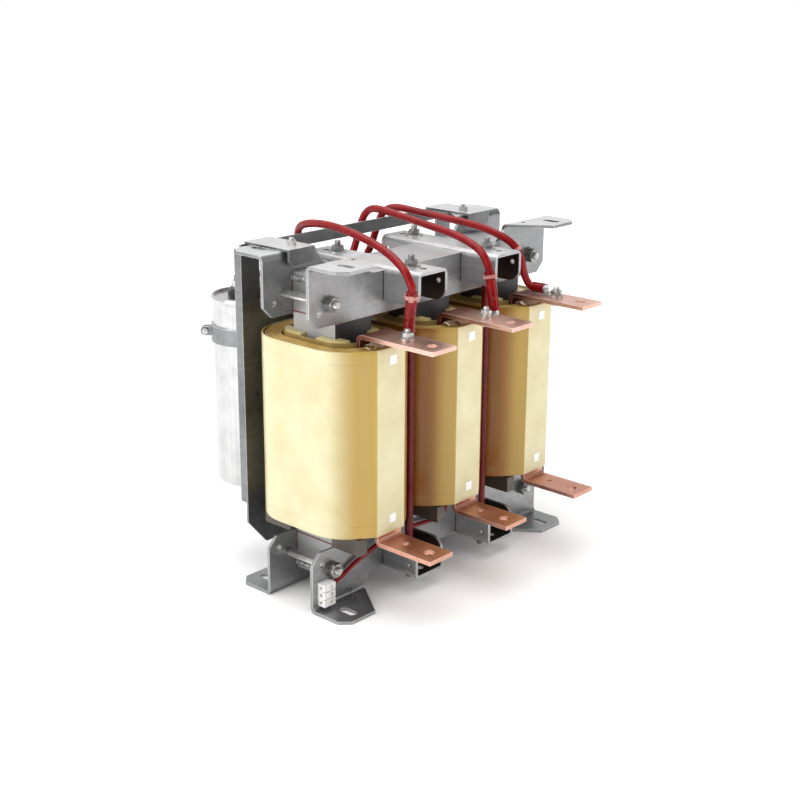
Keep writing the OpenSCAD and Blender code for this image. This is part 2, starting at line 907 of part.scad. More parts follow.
// Places and directions of the lug barrels
function along(from, direction, far) = from + far * unit(direction);
left_lug_in = 14;
left_lug_back = 10;
middle_lug_x = 17;
left_lug = [-coil_pitch + left_lug_in, lead_hole_y + left_lug_back, upper_bar_top];
middle_lug = [middle_lug_x, lead_hole_y, upper_bar_top];
right_lug = [coil_pitch, lead_hole_y, upper_bar_top + lug_t + barrel_r];
left_lean = [-0.02, -0.1, 1];
middle_lean = [0, 0.2, 1];
right_lean = [0, 1, 0];
cap_lug_z = can_top - lid_recess + block_h;
function cap_stud(i) =
    [can_x + terminal_r * cos(cap_stud_turn[i]), can_y + terminal_r * sin(cap_stud_turn[i]),
     cap_lug_z];
function cap_lean(i) = [cos(cap_lug_turn[i]), sin(cap_lug_turn[i]), 0];
function cap_end(i) =
    let (
        start = along(cap_stud(i) + [0, 0, lug_t + barrel_r], cap_lean(i), lug_reach + barrel_h)
    )
    [along(start, cap_lean(i), run_in), start];

left_lead_route = concat(
    [along(left_lug, left_lean, lug_t + barrel_h), along(left_lug, left_lean, sleeve_h)],
    smooth_route(from_top([[-127, -110, -24], [-126, -96, -7], [-121, -61, 8], [-114, -12, 17],
        [-106, 40, 20], [-98, 84, 15], [-91, 106, 4], [-84, 114, -18], [-78, 119, -42],
        [-84, 123, -58]]), lead_parts),
    cap_end(0)
);
middle_lead_route = concat(
    [along(middle_lug, middle_lean, lug_t + barrel_h), along(middle_lug, middle_lean, sleeve_h)],
    smooth_route(from_top([[17, -103, -24], [18, -89, -9], [21, -52, 2], [25, 0, 8],
        [29, 52, 13], [31, 90, 16], [31, 108, 9], [25, 114, -10], [16, 115, -36],
        [0, 117, -60], [-34, 126, -71], [-70, 145, -66]]), lead_parts),
    cap_end(1)
);
right_lead_route = concat(
    [along(right_lug, right_lean, lug_reach + barrel_h),
     along(right_lug, right_lean, lying_run)],
    smooth_route(from_top([[139, -74, -73], [136, -69, -61], [133, -65, -42], [128, -53, -22],
        [114, -20, -6], [96, 23, 3], [81, 62, 9], [68, 92, 13], [62, 108, 4],
        [56, 114, -18], [44, 116, -44], [24, 122, -68], [-20, 140, -78],
        [-66, 164, -70]]), lead_parts),
    cap_end(2)
);
wire_route = [for (p = [[-190, -45, 33], [-182, -45, 34], [-168, -44, 38], [-152, -44, 45],
    [-132, -45, 52], [-110, -47, 60], [-90, -50, 65], [-70, -51, 66], [-50, -50, 65],
    [-32, -47, 62], [-8, -46, 60], [10, -46, 63], [17, -46, 74], [18, -47, 90], [18, -47, 112]])
    route_grid * p];

// Turns the children's Z axis along a direction, at a place
module toward(place, direction) {
    d = unit(direction);
    translate(place) rotate([0, acos(d[2]), atan2(d[1], d[0])]) children();
}

module lug_palm(r, bore) {
    difference() {
        union() {
            cylinder(h = lug_t, r = r);
            block([0, -barrel_r, 0], [lug_reach, barrel_r, lug_t]);
        }
        translate([0, 0, -overrun]) cylinder(h = lug_t + 2 * overrun, d = bore);
    }
}

// A ring lug whose barrel stands up at the place given
module standing_lug(x, foot, lean) {
    reach = foot - [x, lead_hole_y, upper_bar_top];
    translate([x, lead_hole_y, upper_bar_top]) rotate(atan2(reach[1], reach[0]))
        lug_palm(lug_r, tie_rod_d + 2 * fit_gap);
    intersection() {
        toward(foot - overrun * unit(lean), lean)
            cylinder(h = overrun + lug_t + barrel_h, r = barrel_r);
        translate(foot - [lug_r, lug_r, 0]) cube([2 * lug_r, 2 * lug_r, 2 * barrel_h]);
    }
}

// A ring lug whose barrel lies along its palm
module lying_lug(r, bore) {
    lug_palm(r, bore);
    translate([lug_reach, 0, barrel_r + lug_t]) rotate([0, 90, 0])
        cylinder(h = barrel_h, r = barrel_r);
    block([lug_reach - lug_t, -barrel_r, 0], [lug_reach, barrel_r, barrel_r + lug_t]);
}

module ring_lugs() {
    standing_lug(-coil_pitch, left_lug, left_lean);
    standing_lug(0, middle_lug, middle_lean);
    translate([coil_pitch, lead_hole_y, upper_bar_top]) rotate(90)
        lying_lug(lug_r, tie_rod_d + 2 * fit_gap);
    for (i = [0 : len(cap_stud_turn) - 1]) translate(cap_stud(i)) rotate(cap_lug_turn[i])
        lying_lug(small_lug_r, terminal_stud_d + 2 * fit_gap);
}

module lead_sleeves() {
    toward(along(left_lug, left_lean, sleeve_low), left_lean)
        washer(2 * sleeve_r, sleeve_h - sleeve_low, 2 * sleeve_in);
    toward(along(middle_lug, middle_lean, sleeve_low), middle_lean)
        washer(2 * sleeve_r, sleeve_h - sleeve_low, 2 * sleeve_in);
    toward(along(right_lug, right_lean, lug_reach + fit_gap), right_lean)
        washer(2 * sleeve_r, lying_sleeve_h, 2 * sleeve_in);
}

module lead_bolts() {
    for (x = row_x) translate([x, lead_hole_y, upper_bar_top - terminal_t - bolt_head_h]) {
        cylinder(h = bolt_head_h, r = nut_8_af / 2 / cos(30), $fn = 6);
        cylinder(h = bolt_head_h + terminal_t + lug_t + nut_8_h + bolt_end, d = tie_rod_d);
    }
}

module lead_nuts() {
    for (x = row_x) translate([x, lead_hole_y, upper_bar_top + lug_t])
        hex_nut(nut_8_af, nut_8_h, tie_rod_d + 2 * fit_gap);
}

module tie(r) {
    difference() {
        union() {
            cylinder(h = tie_w, r = r + tie_t);
            translate([r, -tie_head / 2, -(tie_head - tie_w) / 2]) cube(tie_head);
        }
        translate([0, 0, -overrun]) cylinder(h = tie_w + 2 * overrun, r = r);
    }
}

module cable_ties() {
    toward(along(left_lug, left_lean, sleeve_h - tie_inset), left_lean) rotate(-40)
        tie(sleeve_r + fit_gap);
    toward(along(middle_lug, middle_lean, sleeve_h - tie_inset), middle_lean) rotate(-40)
        tie(sleeve_r + fit_gap);
    toward(right_lead_route[right_tie_at], heading(right_lead_route, right_tie_at)) rotate(-40)
        tie(lead_d / 2 + fit_gap);
}

module thermostat_wire() {
    cord(wire_route, wire_d, wire_sides);
}

module terminal_block() {
    low = [-clamp_half + pole_inset, -plate_out - pole_d, bend_out + pole_rise];
    difference() {
        translate(low) cube([pole_w, pole_d, pole_count * pole_h]);
        for (i = [1 : pole_count - 1])
            translate(low + [-overrun, -overrun, i * pole_h - pole_groove / 2])
                cube([pole_w + 2 * overrun, overrun + pole_d / 3, pole_groove]);
        for (i = [0 : pole_count - 1]) {
            translate(low + [2 * pole_w / 3, pole_screw_depth, (i + 0.5) * pole_h])
                rotate([90, 0, 0]) cylinder(h = pole_screw_depth + overrun, d = pole_screw_d);
            translate(low + [-overrun, pole_d / 2, (i + 0.5) * pole_h])
                rotate([0, 90, 0]) cylinder(h = overrun + pole_w / 2, d = pole_wire_d);
        }
    }
}

// Smallest gap between neighbouring turns of one strip, measured on its own points
turn_steps = 4 * (corner_steps + 1);
echo(least_gap_between_turns = min([for (s = [0 : turn_steps - 1])
    norm(strip_point(s + turn_steps, layer_gap) - strip_point(s, layer_gap)) - foil_t]));

color("dimgray") yoke();  // lower_yoke
color("dimgray") flipped() yoke();  // upper_yoke
color("gray") limb(row_x[0]);  // left_limb
color("gray") limb(row_x[1]);  // middle_limb
color("gray") limb(row_x[2]);  // right_limb
color("saddlebrown") gap_spacers();
color("brown") yoke_insulation();
color("tan") coil_former(row_x[0]);  // left_coil_former
color("tan") coil_former(row_x[1]);  // middle_coil_former
color("tan") coil_former(row_x[2]);  // right_coil_former
color("peru") winding(row_x[0]);  // left_winding
color("peru") winding(row_x[1]);  // middle_winding
color("peru") winding(row_x[2]);  // right_winding
color("goldenrod") interlayer(row_x[0]);  // left_interlayer
color("goldenrod") interlayer(row_x[1]);  // middle_interlayer
color("goldenrod") interlayer(row_x[2]);  // right_interlayer
color("wheat") coil_wrap(row_x[0]);  // left_coil_wrap
color("wheat") coil_wrap(row_x[1]);  // middle_coil_wrap
color("wheat") coil_wrap(row_x[2]);  // right_coil_wrap
color("khaki") duct_sticks();
color("tan") coil_packers();
color("darksalmon") upper_terminal(row_x[0]);  // left_upper_terminal
color("darksalmon") upper_terminal(row_x[1]);  // middle_upper_terminal
color("darksalmon") upper_terminal(row_x[2]);  // right_upper_terminal
color("salmon") lower_terminal(row_x[0]);  // left_lower_terminal
color("salmon") lower_terminal(row_x[1]);  // middle_lower_terminal
color("salmon") lower_terminal(row_x[2]);  // right_lower_terminal
color("silver") flipped() mirror([0, 1, 0]) clamp_plate();  // upper_front_clamp
color("silver") flipped() clamp_plate();  // upper_rear_clamp
color("silver") mirror([0, 1, 0]) clamp_plate();  // lower_front_clamp
color("silver") clamp_plate();  // lower_rear_clamp
color("lightgray") flipped() crossbar(-half_x);  // upper_left_crossbar
color("lightgray") flipped() crossbar(half_x);  // upper_right_crossbar
color("lightgray") crossbar(-half_x);  // lower_left_crossbar
color("lightgray") crossbar(half_x);  // lower_right_crossbar
color("slategray") tie_rods();
color("firebrick") tie_rod_sleeves();
color("silver") tie_rod_washers();
color("slategray") tie_rod_nuts();
color("slategray") clamp_studs();
color("silver") clamp_washers();
color("slategray") clamp_nuts();
color("gray") rear_panel();
color("slategray") hook_screws();
color("gainsboro") capacitor_can();
color("black") capacitor_terminal_block();
color("slategray") capacitor_nuts();
color("silver") capacitor_clamp();
color("slategray") capacitor_clamp_screws();
color("darkred") cord(left_lead_route, lead_d, lead_sides);  // left_power_lead
color("darkred") cord(middle_lead_route, lead_d, lead_sides);  // middle_power_lead
color("darkred") cord(right_lead_route, lead_d, lead_sides);  // right_power_lead
color("maroon") lead_sleeves();
color("silver") ring_lugs();
color("slategray") lead_bolts();
color("slategray") lead_nuts();
color("white") cable_ties();
color("darkred") thermostat_wire();
color("ivory") terminal_block();
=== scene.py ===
import bpy
import bmesh
import math
import random
from mathutils import Matrix, Vector


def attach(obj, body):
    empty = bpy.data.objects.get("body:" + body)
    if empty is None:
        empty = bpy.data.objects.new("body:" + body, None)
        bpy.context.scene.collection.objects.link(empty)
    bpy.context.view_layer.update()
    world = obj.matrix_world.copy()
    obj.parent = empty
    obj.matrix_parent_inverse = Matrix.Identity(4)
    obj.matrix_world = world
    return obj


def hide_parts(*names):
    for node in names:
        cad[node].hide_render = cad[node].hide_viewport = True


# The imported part, in metres: +X along the coils, +Y to the rear panel, +Z up.
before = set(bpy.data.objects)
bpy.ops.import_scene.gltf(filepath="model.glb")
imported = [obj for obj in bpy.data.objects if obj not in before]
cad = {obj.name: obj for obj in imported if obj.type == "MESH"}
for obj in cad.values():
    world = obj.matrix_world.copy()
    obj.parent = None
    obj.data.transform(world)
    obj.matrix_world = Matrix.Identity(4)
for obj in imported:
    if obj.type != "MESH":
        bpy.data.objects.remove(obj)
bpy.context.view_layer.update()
MM = 0.001

# Camera.
# The photograph was taken from the front left, a little above the copper bars,
# with a moderately long lens.
camera_azimuth = -47.93
camera_elevation = 17.64
camera_roll = 0.35
camera_distance = 1766.9 * MM
camera_aim = Vector((-2.6, 17.2, 210.1)) * MM
camera_lens = 62.5
camera_sensor = 36
camera_axis_row = -0.00575
camera_far = 50

azimuth, elevation, roll = (math.radians(v) for v in (camera_azimuth, camera_elevation, camera_roll))
back = Vector((math.sin(azimuth) * math.cos(elevation),
               -math.cos(azimuth) * math.cos(elevation), math.sin(elevation)))
level_right = Vector((math.cos(azimuth), math.sin(azimuth), 0))
level_up = back.cross(level_right)
right = level_right * math.cos(roll) + level_up * math.sin(roll)
up = level_up * math.cos(roll) - level_right * math.sin(roll)
camera = bpy.data.objects.new("camera", bpy.data.cameras.new("camera"))
camera.data.lens = camera_lens
camera.data.sensor_width = camera_sensor
camera.data.shift_y = camera_axis_row
camera.data.clip_end = camera_far
camera.matrix_world = Matrix.Translation(camera_aim + back * camera_distance) @ Matrix(
    (right, up, back)).transposed().to_4x4()
bpy.context.scene.collection.objects.link(camera)
bpy.context.scene.camera = camera


# Studio.
# A white room: a paper floor, large soft lights at both sides and above,
# and less light from where the camera stands.
def node(tree, kind, sockets=None, **settings):
    """A node whose sockets take a link or a plain value."""
    made = tree.nodes.new(kind)
    for key, value in settings.items():
        setattr(made, key, value)
    for key, value in (sockets or {}).items():
        if isinstance(value, bpy.types.NodeSocket):
            tree.links.new(value, made.inputs[key])
        else:
            made.inputs[key].default_value = value
    return made


def axis(tree, place, number):
    """One coordinate of a place or direction: 0, 1 or 2 for X, Y or Z."""
    return node(tree, "ShaderNodeSeparateXYZ", {0: place}).outputs[number]


def ramp(tree, value, low, high, start=0.0, end=1.0, **settings):
    """start where the value is at low, end where it is at high, and held beyond."""
    return node(tree, "ShaderNodeMapRange", {0: value, 1: low, 2: high, 3: start, 4: end},
                **settings).outputs[0]


scene = bpy.context.scene
scene.view_settings.view_transform = "Standard"
world = bpy.data.worlds.new("studio")
scene.world = world
world.use_nodes = True
sky = world.node_tree
# Shiny faces mirror a room that is dark towards the front and bright at the
# back, dull faces get an even light, and the picture itself is white
front_y, back_y = -0.8, 0.5
mirrored_front, mirrored_back = 0.08, 0.85
even_light = 0.76
way_y = axis(sky, node(sky, "ShaderNodeTexCoord").outputs["Generated"], 1)
mirrored = ramp(sky, way_y, front_y, back_y, mirrored_front, mirrored_back)
rays = node(sky, "ShaderNodeLightPath").outputs
seen = node(sky, "ShaderNodeMix", {0: rays["Is Camera Ray"], 2: mirrored, 3: 1.0}).outputs[0]
strength = node(sky, "ShaderNodeMix", {0: rays["Is Diffuse Ray"], 2: seen, 3: even_light}).outputs[0]
sky.links.new(strength, sky.nodes["Background"].inputs["Strength"])
sky.nodes["Background"].inputs["Color"].default_value = (1, 1, 1, 1)


def soft_light(name, place, aim, size, power):
    light = bpy.data.lights.new(name, "AREA")
    light.shape = "RECTANGLE"
    light.size, light.size_y = size
    light.energy = power
    obj = bpy.data.objects.new(name, light)
    obj.location = place
    obj.rotation_euler = (Vector(aim) - Vector(place)).to_track_quat("-Z", "Y").to_euler()
    scene.collection.objects.link(obj)


soft_light("left_softbox", place=(-2.2, 0.3, 0.9), aim=(0, 0, 0.2), size=(1.1, 1.9), power=17)
soft_light("front_softbox", place=(0.9, -2.3, 0.8), aim=(0, 0, 0.25), size=(1.0, 1.8), power=14)
soft_light("top_softbox", place=(-0.2, 0.2, 2.2), aim=(0, 0, 0.3), size=(2.2, 2.2), power=40)

floor_half = 6
floor = bpy.data.objects.new("floor", bpy.data.meshes.new("floor"))
floor.data.from_pydata([(x * floor_half, y * floor_half, 0) for x, y in ((-1, -1), (1, -1), (1, 1), (-1, 1))],
                       [], [(0, 1, 2, 3)])
scene.collection.objects.link(floor)
# The paper glows away from the part, so the distance is as white as the rest
glow_start, glow_full = 0.5, 1.8
glow_strength = 0.36
paper = bpy.data.materials.new("studio_paper")
paper.use_nodes = True
paper_tree = paper.node_tree
paper_shader = paper_tree.nodes["Principled BSDF"]
paper_shader.inputs["Base Color"].default_value = (0.98, 0.98, 0.98, 1)
paper_shader.inputs["Roughness"].default_value = 0.9
paper_shader.inputs["Emission Color"].default_value = (1, 1, 1, 1)
paper_place = node(paper_tree, "ShaderNodeTexCoord").outputs["Object"]
from_part = node(paper_tree, "ShaderNodeVectorMath", {0: paper_place}, operation="LENGTH")
paper_tree.links.new(ramp(paper_tree, from_part.outputs["Value"], glow_start, glow_full, 0.0, glow_strength),
                     paper_shader.inputs["Emission Strength"])
floor.data.materials.append(paper)


# Galvanised sheet: clamp plates, channel bars, rear panel and capacitor strap.
# Cut and bent from hot dipped steel sheet, so it has dull grey crystals,
# pale rubbed spots and worn rounded edges. The edges also get a painted
# highlight, the level tops a painted reflection and the channel insides painted shade.
def calc(tree, kind, first, second=0.0, clamp=False):
    return node(tree, "ShaderNodeMath", {0: first, 1: second}, operation=kind,
                use_clamp=clamp).outputs[0]


def plus(tree, first, second, clamp=False):
    return calc(tree, "ADD", first, second, clamp)


def times(tree, first, second, clamp=False):
    return calc(tree, "MULTIPLY", first, second, clamp)


def shared(tree, share, first, second):
    """share of the first value and the rest of the second, from 0 to 1."""
    return plus(tree, times(tree, first, share), times(tree, second, 1 - share), True)


def blend(tree, share, first, second):
    """A colour between two colours, each a socket or red, green and blue."""
    first, second = (colour if isinstance(colour, bpy.types.NodeSocket) else (*colour, 1)
                     for colour in (first, second))
    return node(tree, "ShaderNodeMix", {0: share, 6: first, 7: second}, data_type="RGBA").outputs[2]


def noise(tree, place, scale, detail):
    return node(tree, "ShaderNodeTexNoise", {"Vector": place, "Scale": scale, "Detail": detail}).outputs[0]


def drawn_noise(tree, place, scales, detail):
    """Noise drawn out into lines by a scale for each axis."""
    drawn = node(tree, "ShaderNodeMapping", {"Vector": place, "Scale": scales}).outputs[0]
    return noise(tree, drawn, 1.0, detail)


def paint(tree, shader, colour, uneven, gain, rough):
    """The colour, and a roughness of rough plus gain times the uneven value."""
    tree.links.new(colour, shader.inputs["Base Color"])
    tree.links.new(plus(tree, times(tree, uneven, gain), rough), shader.inputs["Roughness"])


def group(name, inputs, outputs):
    """A shader node group, with its input and output nodes."""
    tree = bpy.data.node_groups.new(name, "ShaderNodeTree")
    for label, kind, value in inputs:
        socket = tree.interface.new_socket(label, in_out="INPUT", socket_type=kind)
        socket.default_value = value
    for label, kind in outputs:
        tree.interface.new_socket(label, in_out="OUTPUT", socket_type=kind)
    return tree, tree.nodes.new("NodeGroupInput"), tree.nodes.new("NodeGroupOutput")


def start_material(name, roughness, metallic=0.0, **fixed):
    """A material, its node tree, its shader and the place on the part in metres."""
    material = bpy.data.materials.new(name)
    material.use_nodes = True
    tree = material.node_tree
    shader = tree.nodes["Principled BSDF"]
    shader.inputs["Roughness"].default_value = roughness
    shader.inputs["Metallic"].default_value = metallic
    for key, value in fixed.items():
        shader.inputs[key.replace("_", " ")].default_value = value
    place = node(tree, "ShaderNodeTexCoord").outputs["Object"]
    return material, tree, shader, place


# Worn edges with a painted highlight: 1 where a rounded edge turns away from the flat face, else 0
worn_and_highlit_r = 0.8 * MM
edge_starts, edge_full = 0.998, 0.93
edge_tree, edge_in, edge_out = group("worn_and_highlit_edges", [("Radius", "NodeSocketFloat", worn_and_highlit_r)],
                                     [("Edge", "NodeSocketFloat")])
edge_soft = node(edge_tree, "ShaderNodeBevel", {"Radius": edge_in.outputs[0]}, samples=6)
edge_flat = node(edge_tree, "ShaderNodeNewGeometry")
edge_dot = node(edge_tree, "ShaderNodeVectorMath",
                {0: edge_soft.outputs[0], 1: edge_flat.outputs["Normal"]}, operation="DOT_PRODUCT")
edge_tree.links.new(ramp(edge_tree, edge_dot.outputs["Value"], edge_starts, edge_full), edge_out.inputs[0])


def worn_and_highlit_edge(tree, radius=worn_and_highlit_r):
    made = node(tree, "ShaderNodeGroup", node_tree=edge_tree)
    made.inputs[0].default_value = radius
    return made.outputs[0]


def rounded_bump(tree, shader, height, depth, edge=0.6 * MM):
    """Relief of the given depth on a shape whose edges look rounded."""
    soft_edge = node(tree, "ShaderNodeBevel", {"Radius": edge}, samples=4)
    bump = node(tree, "ShaderNodeBump", {"Height": height, "Distance": depth,
                                         "Normal": soft_edge.outputs[0]})
    tree.links.new(bump.outputs[0], shader.inputs["Normal"])


# Handling marks: broad cloudy stains plus fine grain, both from 0 to 1
marks_tree, marks_in, marks_out = group(
    "handling_marks", [("Place", "NodeSocketVector", (0, 0, 0)), ("Cloud size", "NodeSocketFloat", 18),
                       ("Grain size", "NodeSocketFloat", 900)],
    [("Cloud", "NodeSocketFloat"), ("Grain", "NodeSocketFloat")])
cloud = node(marks_tree, "ShaderNodeTexNoise", {
    "Vector": marks_in.outputs[0], "Scale": marks_in.outputs[1], "Detail": 5, "Roughness": 0.6})
cloud_from, cloud_to = 0.32, 0.68
marks_tree.links.new(ramp(marks_tree, cloud.outputs[0], cloud_from, cloud_to), marks_out.inputs[0])
marks_tree.links.new(noise(marks_tree, marks_in.outputs[0], marks_in.outputs[2], 3), marks_out.inputs[1])


def marks(tree, place, cloud_size, grain_size):
    """The cloud and the grain of the handling marks at these noise scales."""
    made = node(tree, "ShaderNodeGroup", node_tree=marks_tree)
    tree.links.new(place, made.inputs[0])
    made.inputs[1].default_value = cloud_size
    made.inputs[2].default_value = grain_size
    return made.outputs[0], made.outputs[1]


core_middle = 210 * MM
# The channel bars stand at channel_x; half the gap between their walls, and
# how far from the middle of the core the inner face of the web lies
channel_x, channel_half = 70 * MM, 21.3 * MM
channel_web = 186.2 * MM


def galvanised(name, dark, light, rough, inside=None):
    material, tree, shader, place = start_material(name, rough, 0.85)
    crystals = node(tree, "ShaderNodeTexVoronoi", {"Vector": place, "Scale": 210, "Randomness": 1.0})
    crystal = node(tree, "ShaderNodeSeparateColor", {0: crystals.outputs["Color"]}).outputs[0]
    cloudy, grainy = marks(tree, place, 9, 1400)
    rolled = drawn_noise(tree, place, (6, 6, 420), 3)
    tone = plus(tree, times(tree, cloudy, 0.5), times(tree, crystal, 0.12))
    tone = plus(tree, tone, times(tree, rolled, 0.38), True)
    rubbed_and_highlit, painted_top_reflection, painted_channel_shade = (0.86, 0.86, 0.86), (0.93, 0.93, 0.93), (0.085, 0.070, 0.060)
    # The pale edge colour is wear and a painted highlight
    sheet = blend(tree, worn_and_highlit_edge(tree), blend(tree, tone, dark, light), rubbed_and_highlit)
    # Painted reflection: the level faces at the top are painted paler, more so higher up
    normal_z = axis(tree, node(tree, "ShaderNodeNewGeometry").outputs["Normal"], 2)
    top_reflection_share = ramp(tree, axis(tree, place, 2), 100 * MM, 300 * MM, 0.0, 0.66)
    sheet = blend(tree, times(tree, calc(tree, "GREATER_THAN", normal_z, 0.9), top_reflection_share), sheet, painted_top_reflection)
    # Painted shade: inside the channel bars the sheet is painted near black
    if inside:
        sheet = blend(tree, inside(tree, place), sheet, painted_channel_shade)
    uneven = plus(tree, times(tree, crystal, 0.05), times(tree, cloudy, 0.14))
    paint(tree, shader, sheet, uneven, 1.0, rough)
    dents = noise(tree, place, 28, 2)
    relief = plus(tree, times(tree, dents, 8.0), times(tree, grainy, 0.5))
    rounded_bump(tree, shader, relief, 0.1 * MM)
    return material


def channel_shade_mask(tree, place):
    """1 inside the channel bars, between their walls and above or below their webs, where the painted shade
    goes.
    """
    from_bar = calc(tree, "SUBTRACT", calc(tree, "ABSOLUTE", axis(tree, place, 0)), channel_x)
    between = calc(tree, "LESS_THAN", calc(tree, "ABSOLUTE", from_bar), channel_half)
    height = calc(tree, "ABSOLUTE", calc(tree, "SUBTRACT", axis(tree, place, 2), core_middle))
    return times(tree, between, calc(tree, "LESS_THAN", height, channel_web))


def dress(material, *names):
    """The material goes on CAD nodes that keep their own shape."""
    for name in names:
        for slot in cad[name].material_slots:
            slot.material = material


# The clamp plates, and still more the rear panel and strap, take darker copies of the sheet than the channel
# bars: painted shade
plate_steel = galvanised("galvanised_plate", (0.13, 0.133, 0.137), (0.50, 0.505, 0.51), 0.25)
dress(plate_steel, "upper_front_clamp", "upper_rear_clamp", "lower_front_clamp", "lower_rear_clamp")
bar_steel = galvanised("galvanised_channel", (0.19, 0.194, 0.198), (0.62, 0.625, 0.63), 0.25, channel_shade_mask)
dress(bar_steel, "upper_left_crossbar", "upper_right_crossbar", "lower_left_crossbar", "lower_right_crossbar")
panel_steel = galvanised("galvanised_panel", (0.09, 0.092, 0.095), (0.34, 0.343, 0.346), 0.25)
dress(panel_steel, "rear_panel", "capacitor_clamp")


# Laminated core: two yokes and three limbs.
# Stacks of thin dark electrical steel; the sheet edges show as fine lines
# and the yoke ends are ground bright beside their weld beads.
yoke_end = 170 * MM
core_bottom, core_top = 24 * MM, 396 * MM


def laminated(name, dark, light, metallic):
    material, tree, shader, place = start_material(name, 0.42, metallic)
    sheets = drawn_noise(tree, place, (4, 900, 4), 2)
    cloudy, grainy = marks(tree, place, 14, 700)
    tone = shared(tree, 0.6, sheets, cloudy)
    ground = blend(tree, grainy, (0.42, 0.42, 0.42), (0.75, 0.75, 0.74))
    # The top face of the core is painted pale grey: a painted highlight
    painted_top_light = calc(tree, "GREATER_THAN", axis(tree, place, 2), core_top - 0.5 * MM)
    body = blend(tree, times(tree, painted_top_light, 0.6), blend(tree, tone, dark, light), (0.80, 0.80, 0.80))
    from_middle = calc(tree, "ABSOLUTE", axis(tree, place, 0))
    at_end = ramp(tree, from_middle, yoke_end - 0.5 * MM, yoke_end + 0.2 * MM)
    paint(tree, shader, blend(tree, at_end, body, ground), tone, 0.25, 0.30)
    relief = plus(tree, sheets, times(tree, times(tree, grainy, at_end), 3.0))
    rounded_bump(tree, shader, relief, 0.2 * MM)
    return material


dress(laminated("laminated_yoke_steel", (0.055, 0.055, 0.06), (0.17, 0.17, 0.18), 0.7),
      "lower_yoke", "upper_yoke")
# The limbs take a darker copy of the same steel: painted shade
dress(laminated("laminated_limb_steel", (0.022, 0.022, 0.024), (0.085, 0.085, 0.09), 0.25),
      "left_limb", "middle_limb", "right_limb")


# Weld beads: one lumpy arc weld runs across the sheets at each end of both
# yokes and holds them together.
def mesh_piece(name, points, faces, material, smooth=40):
    """A mesh object; edges sharper than smooth degrees stay crisp."""
    mesh = bpy.data.meshes.new(name)
    mesh.from_pydata([tuple(p) for p in points], [], faces)
    mesh.validate()
    form = bmesh.new()
    form.from_mesh(mesh)
    bmesh.ops.recalc_face_normals(form, faces=form.faces)
    form.to_mesh(mesh)
    form.free()
    mesh.shade_smooth()
    mesh.set_sharp_from_angle(angle=math.radians(smooth))
    mesh.materials.append(material)
    piece = bpy.data.objects.new(name, mesh)
    scene.collection.objects.link(piece)
    return piece


def stack_rings(rings, closed=True):
    """Faces between rings of equal length. Closed joins the last ring to the
    first; otherwise a flat face ends the stack at each ring."""
    count = len(rings[0])
    faces = []
    for row in range(len(rings) if closed else len(rings) - 1):
        low, high = row * count, (row + 1) % len(rings) * count
        faces += [(low + k, low + (k + 1) % count, high + (k + 1) % count, high + k) for k in range(count)]
    if not closed:
        last = (len(rings) - 1) * count
        faces += [tuple(range(count)), tuple(range(last, last + count))]
    return [p for ring in rings for p in ring], faces


def around(count):
    """Angles that divide a full turn into count parts."""
    return [2 * math.pi * k / count for k in range(count)]


def weld_finish():
    material, tree, shader, place = start_material("weld_bead", 0.34, 0.9)
    cloudy, grainy = marks(tree, place, 320, 1500)
    paint(tree, shader, blend(tree, cloudy, (0.16, 0.16, 0.165), (0.74, 0.74, 0.73)), grainy, 0.3, 0.2)
    rounded_bump(tree, shader, grainy, 0.3 * MM, 0.4 * MM)
    return material


weld_material = weld_finish()
weld_inset, weld_reach, weld_out = 7 * MM, 33 * MM, 0.3 * MM
weld_rows, weld_sides = 66, 12
# The bead's radius with slow lumps and regular beats, in millimetres, and the
# share of it at the first row with the step to the next ones
weld_r, lump_size, lump_kept = 3.6, 0.5, 0.6
beat_depth, beat_rows = 0.45, 5
start_share, start_step = 0.4, 0.3
for end_name, side in (("left", -1), ("right", 1)):
    for yoke_name, z in (("lower", core_bottom + weld_inset), ("upper", core_top - weld_inset)):
        rng = random.Random("weld " + end_name + yoke_name)
        rings = []
        lump = 0.0
        for k in range(weld_rows + 1):
            y = weld_reach * (2 * k / weld_rows - 1)
            lump = lump_kept * lump + rng.uniform(-0.5, 0.5)
            beat = beat_depth * abs(math.sin(k * math.pi / beat_rows))
            swell = min(1, start_share + start_step * min(k, weld_rows - k))
            reach = (weld_r + lump * lump_size + beat) * MM * swell
            rings.append([(side * (yoke_end + weld_out) + reach * math.cos(t), y,
                           z + (reach + rng.uniform(-0.2, 0.2) * MM) * math.sin(t))
                          for t in around(weld_sides)])
        points, faces = stack_rings(rings, False)
        bead = mesh_piece(f"{end_name}_{yoke_name}_weld", points, faces, weld_material, 80)
        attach(bead, "root")


# Insulation inside the frame: red brown sheet at the yokes, resin soaked
# board for formers, duct sticks and packers. Cut to size and held by the clamps.
def board(name, dark, light, rough, fibre=(40, 40, 500)):
    material, tree, shader, place = start_material(name, rough, 0.0, Coat_Weight=0.35,
                                                   Coat_Roughness=0.25)
    threads = drawn_noise(tree, place, fibre, 4)
    cloudy, grainy = marks(tree, place, 40, 1100)
    colour = blend(tree, shared(tree, 0.5, threads, cloudy), dark, light)
    paint(tree, shader, colour, grainy, 0.3, rough - 0.15)
    rounded_bump(tree, shader, threads, 0.2 * MM)
    return material


dress(board("red_brown_sheet", (0.10, 0.025, 0.02), (0.22, 0.06, 0.045), 0.5),
      "gap_spacers", "yoke_insulation")
dress(board("resin_board", (0.22, 0.13, 0.03), (0.50, 0.36, 0.12), 0.45),
      "left_coil_former", "middle_coil_former", "right_coil_former")
dress(board("dark_board", (0.035, 0.026, 0.018), (0.10, 0.075, 0.05), 0.5), "coil_packers")
dress(board("cream_stick", (0.52, 0.38, 0.10), (0.84, 0.74, 0.38), 0.34), "duct_sticks")

